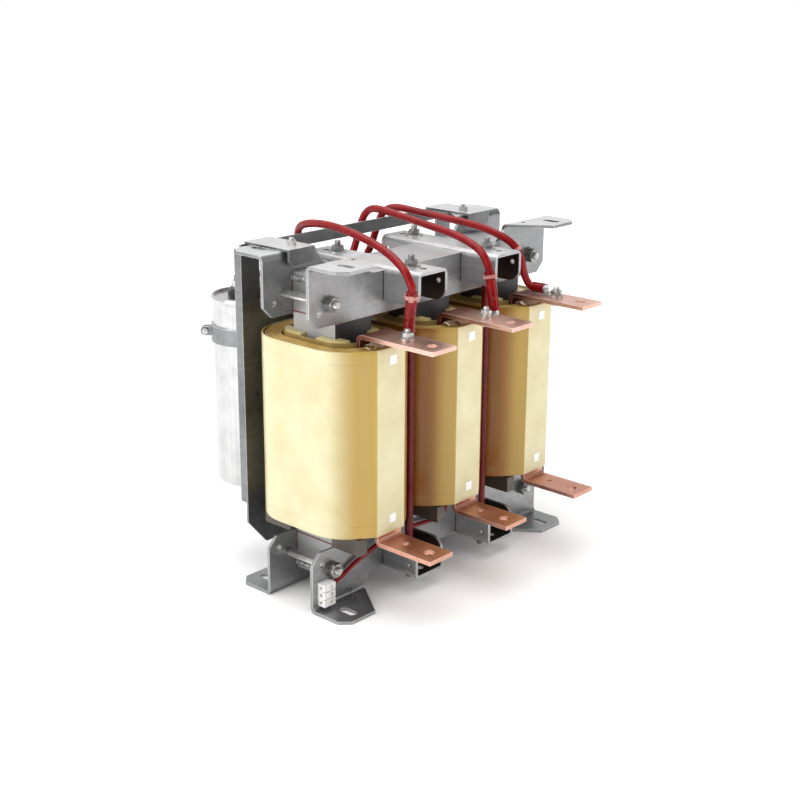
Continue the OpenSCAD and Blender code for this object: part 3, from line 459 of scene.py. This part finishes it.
# Windings: a copper foil strip wound with insulating film.
# Only the edges show, as gold and amber lines sunk in dark resin.
resin_grain = (160, 160, 160)
dress(board("foil_edge", (0.16, 0.055, 0.010), (0.50, 0.22, 0.05), 0.30, resin_grain),
      "left_winding", "middle_winding", "right_winding")
dress(board("film_edge", (0.44, 0.26, 0.05), (0.86, 0.62, 0.20), 0.30, resin_grain),
      "left_interlayer", "middle_interlayer", "right_interlayer")

# Copper bars: 40 by 5 mm flat bar, sawn, punched and bent.
# Drawn lines run along the bar, with fingerprints and small dark specks. The
# upper bars are painted dark red brown where they leave the windings: painted shade.
shade_starts, shade_full = -92 * MM, -62 * MM


def copper(name, dark, light, spot, rough, shaded=0.0):
    material, tree, shader, place = start_material(name, rough, 0.9)
    drawn = drawn_noise(tree, place, (700, 9, 9), 4)
    cloudy, grainy = marks(tree, place, 26, 420)
    metal = blend(tree, shared(tree, 0.55, drawn, cloudy), dark, light)
    speckled = blend(tree, times(tree, ramp(tree, grainy, 0.60, 0.70), 0.6), metal, spot)
    # Painted shade: dark red brown towards the windings on the upper bars
    depth = plus(tree, axis(tree, place, 1), times(tree, cloudy, 20 * MM))
    painted_shade = times(tree, ramp(tree, depth, shade_starts, shade_full), shaded)
    speckled = blend(tree, painted_shade, speckled, (0.26, 0.06, 0.035))
    # The edges are painted paler than the copper: wear and a painted highlight
    bright = [0.5 + 0.5 * v for v in light]
    paint(tree, shader, blend(tree, worn_and_highlit_edge(tree, 1.2 * MM), speckled, bright), cloudy, 0.18, rough)
    rounded_bump(tree, shader, drawn, 0.08 * MM, 0.9 * MM)
    return material


# The upper bars take a paler copy of the copper and the lower bars a darker one: painted light and painted
# shade
dress(copper("upper_bar_copper", (0.66, 0.34, 0.26), (0.88, 0.60, 0.50), (0.40, 0.16, 0.10), 0.28, 0.9),
      "left_upper_terminal", "middle_upper_terminal", "right_upper_terminal")
dress(copper("lower_bar_copper", (0.50, 0.20, 0.13), (0.78, 0.42, 0.31), (0.24, 0.08, 0.05), 0.28),
      "left_lower_terminal", "middle_lower_terminal", "right_lower_terminal")


# Coil wraps: cream insulation sheet pulled tight round each winding and
# varnished. The bends are painted gold and the sides between coils amber:
# painted shade. Over the outer connection bar the sheet stands proud as a flat band.
coil_x = {"left": -140 * MM, "middle": 0.0, "right": 140 * MM}
wrap_low, wrap_high = 97 * MM, 323 * MM
# The winding's bends and the corner of the band over its bar, as in the CAD,
# and how far outside them the sheet's two faces lie
bend_x, bend_front_y, bend_rear_y = 12 * MM, -33 * MM, 28 * MM
winding_r = 53 * MM
band_x, band_y = 22 * MM, -91.3 * MM
wrap_in, wrap_out = 0.3 * MM, 2.3 * MM
bend_parts, wrap_rows = 14, 30
rim_r = 1.6 * MM
waver_size, waver_most = 0.06 * MM, 0.2 * MM
# Where each painted shade and the fold start and where they are full: the
# gold bend shade by depth, the band's edge and the amber gap shade by distance
# from the coil's middle, the fold by height
bend_shade_front, bend_shade_rear = (-50 * MM, -81 * MM), (45 * MM, 74 * MM)
band_edge, gap_shade_edge = (22.4 * MM, 24 * MM), (30 * MM, 52 * MM)
fold_height = (99.5 * MM, 100.3 * MM)
facing_x = 132 * MM


def wrap_outline(grow):
    """Right half of the wrap from the band's middle to the rear middle, then its mirror image."""
    middle = Vector((bend_x, bend_front_y))
    edge = Vector((band_x + grow / 2, band_y - grow))
    away = edge - middle
    reach = winding_r + grow
    start = math.atan2(away.y, away.x) + math.acos(reach / away.length)
    touch = middle + reach * Vector((math.cos(start), math.sin(start)))
    half = [Vector((edge.x * s, edge.y)) for s in (0, 0.35, 0.7, 0.93)]
    half += [edge.lerp(touch, s) for s in (0.0, 0.04, 0.35, 0.7)]
    half += [middle + reach * Vector((math.cos(t), math.sin(t))) for t in
             [start * (1 - k / bend_parts) for k in range(bend_parts + 1)]]
    rear = Vector((bend_x, bend_rear_y))
    half += [Vector((bend_x + reach, bend_front_y + (bend_rear_y - bend_front_y) * s))
             for s in (0.25, 0.5, 0.75)]
    half += [rear + reach * Vector((math.cos(t), math.sin(t))) for t in
             [math.pi / 2 * k / bend_parts for k in range(bend_parts + 1)]]
    half.append(Vector((0, bend_rear_y + reach)))
    return half + [Vector((-p.x, p.y)) for p in reversed(half[1:-1])]


def wrap_finish():
    material, tree, shader, place = start_material("varnished_wrap", 0.36, 0.0, Coat_Weight=0.25,
                                                   Coat_Roughness=0.10, Specular_IOR_Level=0.3)
    x, y, z = (axis(tree, place, number) for number in (0, 1, 2))
    pitch = coil_x["right"]
    nearest_coil = times(tree, calc(tree, "ROUND", calc(tree, "DIVIDE", x, pitch)), pitch)
    local_x = calc(tree, "ABSOLUTE", calc(tree, "SUBTRACT", x, nearest_coil))
    cloudy, grainy = marks(tree, place, 20, 900)
    streaks = drawn_noise(tree, place, (60, 60, 3), 3)
    # Painted shade: beside the flat band and behind the coil the sheet is painted gold
    front = ramp(tree, y, *bend_shade_front, interpolation_type="SMOOTHSTEP")
    rear = ramp(tree, y, *bend_shade_rear, interpolation_type="SMOOTHSTEP")
    beside = ramp(tree, local_x, *band_edge)
    bend_shade_share = times(tree, plus(tree, front, rear, True), beside)
    bend_shade_share = times(tree, bend_shade_share, plus(tree, times(tree, streaks, 0.5), 0.7), True)
    cream = blend(tree, cloudy, (0.62, 0.55, 0.31), (0.72, 0.66, 0.43))
    painted_bend_shade = blend(tree, streaks, (0.34, 0.215, 0.040), (0.50, 0.34, 0.085))
    sheet = blend(tree, bend_shade_share, cream, painted_bend_shade)
    # Painted shade: where two coils face each other the sheet is painted gold, and amber on the sides
    facing = calc(tree, "LESS_THAN", calc(tree, "ABSOLUTE", x), facing_x)
    aside = ramp(tree, local_x, *gap_shade_edge, interpolation_type="SMOOTHSTEP")
    painted_gap_shade = blend(tree, streaks, (0.15, 0.048, 0.003), (0.29, 0.115, 0.008))
    sheet = blend(tree, times(tree, facing, times(tree, beside, 0.8)), sheet, painted_bend_shade)
    sheet = blend(tree, times(tree, facing, aside), sheet, painted_gap_shade)
    paint(tree, shader, sheet, cloudy, 0.12, 0.28)
    # Turned in ends of the sheet: a wavering line near each rim
    wander = times(tree, noise(tree, place, 26, 2), 4 * MM)
    height = plus(tree, calc(tree, "ABSOLUTE", calc(tree, "SUBTRACT", z, core_middle)), wander)
    turned_in = ramp(tree, height, *fold_height)
    relief = plus(tree, streaks, times(tree, grainy, 0.08))
    rounded_bump(tree, shader, plus(tree, relief, times(tree, turned_in, 0.9)), 0.5 * MM, 0.8 * MM)
    return material


wrap_material = wrap_finish()
wrap_outer, wrap_inner = wrap_outline(wrap_out), wrap_outline(wrap_in)
wrap_height = wrap_high - wrap_low
# Height and how far the rounded rim draws in there
wrap_levels = [(wrap_low, rim_r), (wrap_low + rim_r * 0.3, rim_r * 0.3), (wrap_low + rim_r, 0.0)]
wrap_levels += [(wrap_low + wrap_height * k / wrap_rows, 0.0) for k in range(1, wrap_rows)]
wrap_levels += [(wrap_high - rim_r, 0.0), (wrap_high - rim_r * 0.3, rim_r * 0.3), (wrap_high, rim_r)]
for side, x0 in coil_x.items():
    rng = random.Random(side)
    ripple = [(rng.uniform(0, 6.28), rng.uniform(0.4, 1.0)) for _ in range(6)]
    rings = []
    for z, shrink in wrap_levels:
        ring = []
        share = (z - wrap_low) / wrap_height
        for k, (p, q) in enumerate(zip(wrap_outer, wrap_inner)):
            out = (p - q).normalized()
            wave = sum(weight * math.sin(order * (3.1 * share + k * 0.21) + phase)
                       for order, (phase, weight) in enumerate(ripple, 1))
            waver = waver_size * wave * math.sin(math.pi * share)
            flat = p - out * (shrink - min(waver, waver_most))
            ring.append((x0 + flat.x, flat.y, z))
        rings.append(ring)
    rings.append([(x0 + q.x, q.y, wrap_high) for q in wrap_inner])
    rings.append([(x0 + q.x, q.y, wrap_low) for q in wrap_inner])
    points, faces = stack_rings(rings)
    wrap = mesh_piece(side + "_wrap_sheet", points, faces, wrap_material, 35)
    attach(wrap, "root")
    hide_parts(side + "_coil_wrap")


# Red tubes on the tie rods: glossy insulating tube pushed over each rod,
# from channel bar to channel bar.
def glossy_red(name, dark, light, rough=0.26):
    material, tree, shader, place = start_material(name, rough, 0.0, Coat_Weight=0.2, Coat_Roughness=0.05,
                                                   Specular_IOR_Level=0.18)
    cloudy, _ = marks(tree, place, 55, 800)
    paint(tree, shader, blend(tree, cloudy, dark, light), cloudy, 0.16, rough - 0.04)
    bump = node(tree, "ShaderNodeBump", {"Height": cloudy, "Distance": 0.3 * MM})
    tree.links.new(bump.outputs[0], shader.inputs["Normal"])
    return material


dress(glossy_red("red_tube", (0.085, 0.001, 0.002), (0.14, 0.002, 0.004)), "tie_rod_sleeves")


# Fibre strands: the glass cloth under each upper bar frays where the bar
# leaves the winding, and the varnish has set its threads.
def fibre_finish():
    material, tree, shader, place = start_material("set_glass_fibre", 0.3, 0.0, Coat_Weight=0.6,
                                                   Coat_Roughness=0.1)
    cloudy, grainy = marks(tree, place, 220, 2000)
    paint(tree, shader, blend(tree, cloudy, (0.62, 0.42, 0.18), (0.96, 0.92, 0.80)), grainy, 0.3, 0.15)
    return material


def unit(way):
    return Vector(way).normalized()


fibre_material = fibre_finish()
strand_count, strand_parts, strand_sides = 44, 7, 6
strand_z, strand_flat = 323 * MM, 1.6
for side, x0 in coil_x.items():
    rng = random.Random("fibre " + side)
    points, faces = [], []
    for _ in range(strand_count):
        start = Vector((x0 + rng.uniform(-21, 24) * MM, rng.uniform(-66, -74) * MM, strand_z))
        reach = Vector((rng.uniform(-4, 9), rng.uniform(-17, -9), 0)) * MM
        bow = Vector((rng.uniform(-3, 3) * MM, 0, rng.uniform(1.2, 4.5) * MM))
        thick = rng.uniform(0.25, 0.6) * MM
        path = [start + reach * t + bow * (4 * t * (1 - t))
                for t in [k / strand_parts for k in range(strand_parts + 1)]]
        rings = []
        for k in range(strand_parts + 1):
            ahead = unit(path[min(k + 1, strand_parts)] - path[max(k - 1, 0)])
            across = unit(ahead.cross(Vector((0, 0, 1))))
            over = across.cross(ahead)
            rings.append([path[k] + thick * (math.cos(t) * across * strand_flat + math.sin(t) * over)
                          for t in around(strand_sides)])
        strand_points, strand_faces = stack_rings(rings, False)
        faces += [tuple(len(points) + corner for corner in face) for face in strand_faces]
        points += strand_points
    strands = mesh_piece(side + "_fibre_strands", points, faces, fibre_material, 60)
    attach(strands, "root")


# Power leads: one red single core cable from each upper bar, up over the
# core and the rear panel and down to the capacitor. The routes are the CAD's.
def route_point(points, i, t):
    """A place on the smooth curve from point i to the next, t from 0 to 1."""
    p = [points[max(i - 1, 0)], points[i], points[i + 1], points[min(i + 2, len(points) - 1)]]
    return 0.5 * ((2 * p[1]) + (p[2] - p[0]) * t + (2 * p[0] - 5 * p[1] + 4 * p[2] - p[3]) * t * t
                  + (3 * p[1] - p[0] - 3 * p[2] + p[3]) * t ** 3)


def smooth_route(points, parts):
    """The curve through the points, evened out three times as the CAD does."""
    made = [route_point(points, i, k / parts) for i in range(len(points) - 1) for k in range(parts)]
    made.append(points[-1])
    for _ in range(3):
        evened = [(made[i - 1] + made[i] * 2 + made[i + 1]) / 4 for i in range(1, len(made) - 1)]
        made = [made[0]] + evened + [made[-1]]
    return made


tube_side = unit((0.31, 0.83, 0.46))  # any way that no cable runs along


def tube(name, path, radius, sides, material):
    side = tube_side
    rings = []
    for i, p in enumerate(path):
        ahead = unit(path[min(i + 1, len(path) - 1)] - path[max(i - 1, 0)])
        side = unit(side - ahead * side.dot(ahead))
        other = ahead.cross(side)
        rings.append([p + radius * (math.cos(t) * side + math.sin(t) * other) for t in around(sides)])
    points, faces = stack_rings(rings, False)
    return mesh_piece(name, points, faces, material)


lead_r, lead_sides = 4.75 * MM, 20
bar_top, bar_hole_y = 336 * MM, -117 * MM
lug_t, lug_reach = 2.5 * MM, 17 * MM
barrel_r, barrel_h = 5.225 * MM, 14 * MM
panel_rear, strap_in, strap_t = 103.5 * MM, 42.8 * MM, 2.5 * MM
can_x, can_y = -140 * MM, panel_rear + strap_in + strap_t
can_foot, can_height, lid_sunk, block_height = 105 * MM, 241 * MM, 4 * MM, 12 * MM
block_top = can_foot + can_height - lid_sunk + block_height
stud_circle_r = 13 * MM
stud_turn, lug_turn = (240, 0, 120), (-12, 0, 12)


def level_way(degrees):
    """The level direction at this angle from +X."""
    return Vector((math.cos(math.radians(degrees)), math.sin(math.radians(degrees)), 0))


def can_end(i):
    """The last two points of a lead: in line with its lug on the capacitor."""
    stud = Vector((can_x, can_y, block_top + lug_t + barrel_r)) + stud_circle_r * level_way(stud_turn[i])
    lean = level_way(lug_turn[i])
    return [stud + lean * (lug_reach + barrel_h + 10 * MM), stud + lean * (lug_reach + barrel_h)]


# Where each lug's barrel starts on its bar and which way it leans
lug_foot = {"left": Vector((-126 * MM, -107 * MM, bar_top)), "middle": Vector((17 * MM, bar_hole_y, bar_top)),
            "right": Vector((140 * MM, bar_hole_y, bar_top + lug_t + barrel_r))}
lug_lean = {"left": unit((-0.02, -0.1, 1)), "middle": unit((0, 0.2, 1)), "right": unit((0, 1, 0))}
# The points of each lead between its two lugs, and before them two points
# in line with the lug on its bar, all in millimetres
lead_points = {
    "left": [(-127, -110, 396), (-126, -96, 413), (-121, -61, 428), (-114, -12, 437), (-106, 40, 440),
             (-98, 84, 435), (-91, 106, 424), (-84, 114, 402), (-78, 119, 378), (-84, 123, 362)],
    "middle": [(17, -103, 396), (18, -89, 411), (21, -52, 422), (25, 0, 428), (29, 52, 433),
               (31, 90, 436), (31, 108, 429), (25, 114, 410), (16, 115, 384), (0, 117, 360),
               (-34, 126, 349), (-70, 145, 354)],
    "right": [(139, -74, 347), (136, -69, 359), (133, -65, 378), (128, -53, 398), (114, -20, 414),
              (96, 23, 423), (81, 62, 429), (68, 92, 433), (62, 108, 424), (56, 114, 402),
              (44, 116, 376), (24, 122, 352), (-20, 140, 342), (-66, 164, 350)],
}
lead_start = {"left": (16.5, 52), "middle": (16.5, 52), "right": (31, 37)}
lead_parts = 10
lead_red = glossy_red("lead_jacket_red", (0.17, 0.001, 0.003), (0.27, 0.003, 0.005))
for i, side in enumerate(("left", "middle", "right")):
    first = [lug_foot[side] + lug_lean[side] * distance * MM for distance in lead_start[side]]
    route = first + [Vector(p) * MM for p in lead_points[side]] + can_end(i)
    lead = tube(side + "_lead_cable", smooth_route(route, lead_parts), lead_r, lead_sides, lead_red)
    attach(lead, "root")
    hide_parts(side + "_power_lead")


# Shrink sleeves: red heat shrink tube over each lug's barrel and the start
# of its cable, drawn in unevenly so that it has soft ridges.
sleeve_red = glossy_red("shrink_red", (0.13, 0.001, 0.002), (0.25, 0.003, 0.005), 0.18)
sleeve_rings, sleeve_sides = 40, 24
sleeve_in, sleeve_out, sleeve_taper = 5.5, 6.75, 0.35  # radii in millimetres
kink_length = 0.035  # as a share of the sleeve


def shrink_sleeve(name, foot, lean, low, high, seed):
    """A sleeve from low to high along the lean; its inside is smooth."""
    rng = random.Random(seed)
    kinks = [(rng.uniform(0.1, 0.9), rng.uniform(0.25, 0.6) * MM, rng.uniform(0, 6.28)) for _ in range(7)]
    side = unit(tube_side - lean * tube_side.dot(lean))
    other = lean.cross(side)
    rings = []
    for inside in (False, True):
        for k in range(sleeve_rings, -1, -1) if inside else range(sleeve_rings + 1):
            s = k / sleeve_rings
            base = (sleeve_in if inside else sleeve_out - sleeve_taper * s) * MM
            ring = []
            for t in around(sleeve_sides):
                dent = 0 if inside else sum(
                    depth * math.exp(-((s - at) / kink_length) ** 2) * (0.5 + 0.5 * math.cos(t - turn))
                    for at, depth, turn in kinks)
                spoke = math.cos(t) * side + math.sin(t) * other
                ring.append(foot + lean * (low + (high - low) * s) + (base - dent) * spoke)
            rings.append(ring)
    points, faces = stack_rings(rings)
    return mesh_piece(name, points, faces, sleeve_red)


# From and to, in millimetres along each lug
sleeve_spans = {"left": (5, 52), "middle": (5, 52), "right": (17.3, 35.3)}
for seed, (side, (low, high)) in enumerate(sleeve_spans.items(), 3):
    sleeve = shrink_sleeve(side + "_shrink_sleeve", lug_foot[side], lug_lean[side], low * MM, high * MM, seed)
    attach(sleeve, "root")
    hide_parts("lead_sleeves")

# Thermostat wire: a thinner red cable from the small terminal block, over
# the left channel bar and up into the middle coil's air duct.
wire_points = [(-190, -45, 33), (-182, -45, 34), (-168, -44, 38), (-152, -44, 45), (-132, -45, 52),
               (-110, -47, 60), (-90, -50, 65), (-70, -51, 66), (-50, -50, 65), (-32, -47, 62),
               (-8, -46, 60), (10, -46, 63), (17, -46, 74), (18, -47, 90), (18, -47, 112)]
wire_r, wire_sides = 2.75 * MM, 14
wire_route = smooth_route([Vector(p) * MM for p in wire_points], 6)
wire = tube("thermostat_cable", wire_route, wire_r, wire_sides, lead_red)
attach(wire, "root")
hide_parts("thermostat_wire")


# Fastener finishes and the plain metal and plastic of the small fittings.
def zinc(name, dark, light, rough):
    material, tree, shader, place = start_material(name, rough, 0.9)
    cloudy, grainy = marks(tree, place, 160, 2600)
    paint(tree, shader, blend(tree, cloudy, dark, light), grainy, 0.2, rough - 0.1)
    rounded_bump(tree, shader, grainy, 0.05 * MM, 0.4 * MM)
    return material


bright_zinc = zinc("bright_zinc", (0.42, 0.42, 0.41), (0.72, 0.72, 0.70), 0.30)
dull_zinc = zinc("dull_zinc", (0.20, 0.20, 0.20), (0.46, 0.46, 0.45), 0.36)
dress(bright_zinc, "tie_rod_washers", "hook_screws", "capacitor_clamp_screws", "capacitor_nuts")
dress(dull_zinc, "clamp_washers")
dress(zinc("tinned_copper", (0.50, 0.50, 0.49), (0.78, 0.78, 0.76), 0.34), "ring_lugs")


# Nuts and threaded ends: M8 on the tie rods and bars, M10 on the clamp
# studs. Chamfered hexagons on rods with a cut thread, one form repeated.
def nut_form(across, height, bore, turns=36):
    """A hexagon nut on its bore, chamfered at both ends."""
    flat = across / 2
    corner_share, chamfer_share, chamfer_height = 1.155, 0.14, 0.12
    rings = []
    for z, chamfer in ((0, chamfer_share), (chamfer_height, 0), (1 - chamfer_height, 0), (1, chamfer_share)):
        ring = []
        for t in around(turns):
            corner = flat / math.cos((t + math.pi / 6) % (math.pi / 3) - math.pi / 6)
            reach = min(corner, flat * (corner_share - chamfer))
            ring.append((reach * math.cos(t), reach * math.sin(t), z * height))
        rings.append(ring)
    for z in (height, 0):
        rings.append([(bore / 2 * math.cos(t), bore / 2 * math.sin(t), z) for t in around(turns)])
    return stack_rings(rings)


def thread_form(diameter, pitch, low, high, plain_low=None, plain_high=None, turns=20):
    """A rod from low to high whose thread leaves out the plain stretch, with chamfered ends."""
    steps_per_pitch, depth_share, chamfer = 5, 0.55, 1.0 * MM
    stations = []
    count = int((high - low) / pitch * steps_per_pitch)
    for k in range(count + 1):
        z = low + (high - low) * k / count
        if plain_low is None or z < plain_low or z > plain_high:
            stations.append(z)
        elif not stations or stations[-1] < plain_low:
            stations += [plain_low, plain_high]
    rings = []
    for z in stations:
        ring = []
        plain = plain_low is not None and plain_low <= z <= plain_high
        end = min(z - low, high - z)
        for k, t in enumerate(around(turns)):
            wave = abs(((z / pitch - k / turns) % 1.0) * 2 - 1)
            depth = 0 if plain else depth_share * pitch * wave
            reach = min(diameter / 2 - depth, diameter / 2 - chamfer + end)
            ring.append((reach * math.cos(t), reach * math.sin(t), z))
        rings.append(ring)
    return stack_rings(rings, False)


def repeat_tree():
    """Copies of one form on the points of a mesh, each turned by the point's turn attribute."""
    tree = bpy.data.node_groups.new("repeat_on_places", "GeometryNodeTree")
    tree.interface.new_socket("Places", in_out="INPUT", socket_type="NodeSocketGeometry")
    tree.interface.new_socket("Form", in_out="INPUT", socket_type="NodeSocketObject")
    tree.interface.new_socket("Size", in_out="INPUT", socket_type="NodeSocketFloat")
    tree.interface.new_socket("Finish", in_out="INPUT", socket_type="NodeSocketMaterial")
    tree.interface.new_socket("Pieces", in_out="OUTPUT", socket_type="NodeSocketGeometry")
    start, end = tree.nodes.new("NodeGroupInput"), tree.nodes.new("NodeGroupOutput")
    form = node(tree, "GeometryNodeObjectInfo", {"Object": start.outputs["Form"]})
    turn = node(tree, "GeometryNodeInputNamedAttribute", {"Name": "turn"}, data_type="FLOAT_VECTOR")
    copies = node(tree, "GeometryNodeInstanceOnPoints", {
        "Points": start.outputs["Places"], "Instance": form.outputs["Geometry"],
        "Rotation": turn.outputs["Attribute"], "Scale": start.outputs["Size"]})
    real = node(tree, "GeometryNodeRealizeInstances", {"Geometry": copies.outputs[0]})
    finished = node(tree, "GeometryNodeSetMaterial", {"Geometry": real.outputs[0],
                                                      "Material": start.outputs["Finish"]})
    tree.links.new(finished.outputs[0], end.inputs["Pieces"])
    return tree


repeat_on_places = repeat_tree()


def repeated(name, form, places, finish):
    """One piece with a copy of the form at each place, a point and its euler turn."""
    points, faces = form
    unit_form = mesh_piece(name + "_form", points, faces, finish, 30)
    holder_mesh = bpy.data.meshes.new(name + "_places")
    holder_mesh.from_pydata([tuple(p) for p, _ in places], [], [])
    turn = holder_mesh.attributes.new("turn", "FLOAT_VECTOR", "POINT")
    turn.data.foreach_set("vector", [angle for _, euler in places for angle in euler])
    holder = bpy.data.objects.new(name + "_places", holder_mesh)
    scene.collection.objects.link(holder)
    modifier = holder.modifiers.new("repeat", "NODES")
    modifier.node_group = repeat_on_places
    sockets = {s.name: s.identifier for s in repeat_on_places.interface.items_tree
               if getattr(s, "in_out", "") == "INPUT"}
    modifier[sockets["Form"]] = unit_form
    modifier[sockets["Size"]] = 1.0
    modifier[sockets["Finish"]] = finish
    bpy.context.view_layer.update()
    graph = bpy.context.evaluated_depsgraph_get()
    mesh = bpy.data.meshes.new_from_object(holder.evaluated_get(graph), depsgraph=graph)
    piece = bpy.data.objects.new(name, mesh)
    scene.collection.objects.link(piece)
    bpy.data.objects.remove(holder)
    bpy.data.objects.remove(unit_form)
    return piece


m8, m10 = (8 * MM, 1.25 * MM), (10 * MM, 1.5 * MM)  # diameter and pitch
m8_nut = nut_form(across=13 * MM, height=6.5 * MM, bore=8 * MM)
rod_places = [(x * MM, y * MM) for x in (-70, 70) for y in (-60, 60)]
lower_nut_z, upper_nut_z = 18.4 * MM, 401.6 * MM
rod_low, rod_high = 6 * MM, 414 * MM
sleeve_low, sleeve_high = 30 * MM, 390 * MM
half_turn, quarter = math.pi, math.pi / 2
# Each nut has stopped at an angle of its own
rod_nuts = repeated("rod_nuts", m8_nut,
                    [((x, y, upper_nut_z), (0, 0, 0.3 + 9 * x)) for x, y in rod_places]
                    + [((x, y, lower_nut_z), (half_turn, 0, 0.5 + 9 * y)) for x, y in rod_places], dull_zinc)
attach(rod_nuts, "root")
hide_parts("tie_rod_nuts")
rods = repeated("threaded_tie_rods", thread_form(*m8, rod_low, rod_high, sleeve_low, sleeve_high),
                [((x, y, 0), (0, 0, 0)) for x, y in rod_places], dull_zinc)
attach(rods, "root")
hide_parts("tie_rods")

stud_places = [(x * MM, z * MM) for x in (-184, 184) for z in (48, 372)]
stud_nut_y, stud_end_y, stud_plain_y = 41 * MM, 53 * MM, 39 * MM
stud_nuts = repeated("stud_nuts", nut_form(across=17 * MM, height=8 * MM, bore=10 * MM),
                     [((x, -stud_nut_y, z), (quarter, 0.2 + 7 * z, 0)) for x, z in stud_places]
                     + [((x, stud_nut_y, z), (-quarter, 0.2 + 7 * x, 0)) for x, z in stud_places], dull_zinc)
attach(stud_nuts, "root")
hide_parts("clamp_nuts")
studs = repeated("threaded_studs", thread_form(*m10, -stud_end_y, stud_end_y, -stud_plain_y, stud_plain_y),
                 [((x, 0, z), (quarter, 0, 0)) for x, z in stud_places], bright_zinc)
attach(studs, "root")
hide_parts("clamp_studs")

bar_nut_z, bolt_low, bolt_high, bolt_head_z = 338.5 * MM, 331 * MM, 349 * MM, 325.7 * MM
bar_nuts = repeated("bar_nuts", m8_nut,
                    [((x, bar_hole_y, bar_nut_z), (0, 0, 0.2 + 5 * x)) for x in coil_x.values()], bright_zinc)
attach(bar_nuts, "root")
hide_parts("lead_nuts")
bar_bolts = repeated("bar_bolts", thread_form(*m8, bolt_low, bolt_high),
                     [((x, bar_hole_y, 0), (0, 0, 0)) for x in coil_x.values()], bright_zinc)
bolt_heads = repeated("bar_bolt_heads", nut_form(across=13 * MM, height=5.3 * MM, bore=0.5 * MM),
                      [((x, bar_hole_y, bolt_head_z), (0, 0, 0.4)) for x in coil_x.values()], bright_zinc)
for piece in (bar_bolts, bolt_heads):
    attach(piece, "root")
    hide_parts("lead_bolts")


# Capacitor: a drawn aluminium can with a rolled rim over its sunk lid and
# a black terminal block on top. The strap round it is screwed to the panel.
def brushed_can():
    material, tree, shader, place = start_material("drawn_aluminium", 0.3, 0.9)
    drawn = drawn_noise(tree, place, (420, 420, 5), 3)
    cloudy, _ = marks(tree, place, 30, 900)
    colour = blend(tree, shared(tree, 0.6, drawn, cloudy), (0.36, 0.36, 0.362), (0.80, 0.80, 0.80))
    paint(tree, shader, colour, cloudy, 0.2, 0.24)
    bump = node(tree, "ShaderNodeBump", {"Height": drawn, "Distance": 0.06 * MM})
    tree.links.new(bump.outputs[0], shader.inputs["Normal"])
    return material


# Radius and height in millimetres, from the foot over the rim to the sunk lid
can_profile = [(37.5, 105), (40, 105.5), (42, 107.2), (42.5, 109.5), (42.5, 336), (42.9, 338.5), (43.8, 340),
               (44.1, 342), (44.0, 344.4), (43.2, 345.7), (42.2, 346), (41.0, 345.5), (40.5, 344.4),
               (40.5, 342)]
can_sides = 96
can_rings = [[(can_x + r * MM * math.cos(t), can_y + r * MM * math.sin(t), z * MM) for t in around(can_sides)]
             for r, z in can_profile]
can_points, can_faces = stack_rings(can_rings, False)
can = mesh_piece("aluminium_can", can_points, can_faces, brushed_can(), 35)
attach(can, "root")
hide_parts("capacitor_can")


# Plastics: the capacitor's black terminal block, the white block of the
# thermostat wire, and thin nylon ties, painted pinkish red for the light of the red leads that shines through
# them.
def plastic(name, dark, light, rough):
    material, tree, shader, place = start_material(name, rough, 0.0, Coat_Weight=0.2, Coat_Roughness=0.2)
    cloudy, grainy = marks(tree, place, 90, 1500)
    paint(tree, shader, blend(tree, cloudy, dark, light), grainy, 0.2, rough - 0.1)
    rounded_bump(tree, shader, grainy, 0.06 * MM, 0.4 * MM)
    return material


dress(plastic("black_block", (0.010, 0.010, 0.011), (0.030, 0.030, 0.032), 0.4), "capacitor_terminal_block")
dress(plastic("white_moulding", (0.72, 0.72, 0.70), (0.90, 0.90, 0.88), 0.4), "terminal_block")
# The pinkish red is painted light from the red leads under the clear nylon
dress(plastic("nylon_tie", (0.34, 0.09, 0.085), (0.60, 0.28, 0.25), 0.35), "cable_ties")

# Coil labels: small white stickers at the top and bottom of each band,
# left bare.
label_white = plastic("label_paper", (0.85, 0.85, 0.84), (0.95, 0.95, 0.94), 0.5)
label_size, label_t, label_gap, label_edge = 11 * MM, 0.3 * MM, 0.05 * MM, 0.1 * MM
label_x, label_y = 3 * MM, band_y - wrap_out - label_t / 2 - label_gap
for side, x0 in coil_x.items():
    for name, z in (("top", 308 * MM), ("bottom", 115 * MM)):
        mesh = bpy.data.meshes.new("label")
        form = bmesh.new()
        bmesh.ops.create_cube(form, size=1.0)
        bmesh.ops.scale(form, vec=(label_size, label_t, label_size), verts=form.verts)
        bmesh.ops.translate(form, vec=(x0 + label_x, label_y, z), verts=form.verts)
        bmesh.ops.bevel(form, geom=form.edges, offset=label_edge, segments=1, affect="EDGES")
        form.to_mesh(mesh)
        form.free()
        mesh.materials.append(label_white)
        label = bpy.data.objects.new(f"{side}_{name}_label", mesh)
        scene.collection.objects.link(label)
        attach(label, "root")

# Bring the scene up to date
bpy.context.view_layer.update()
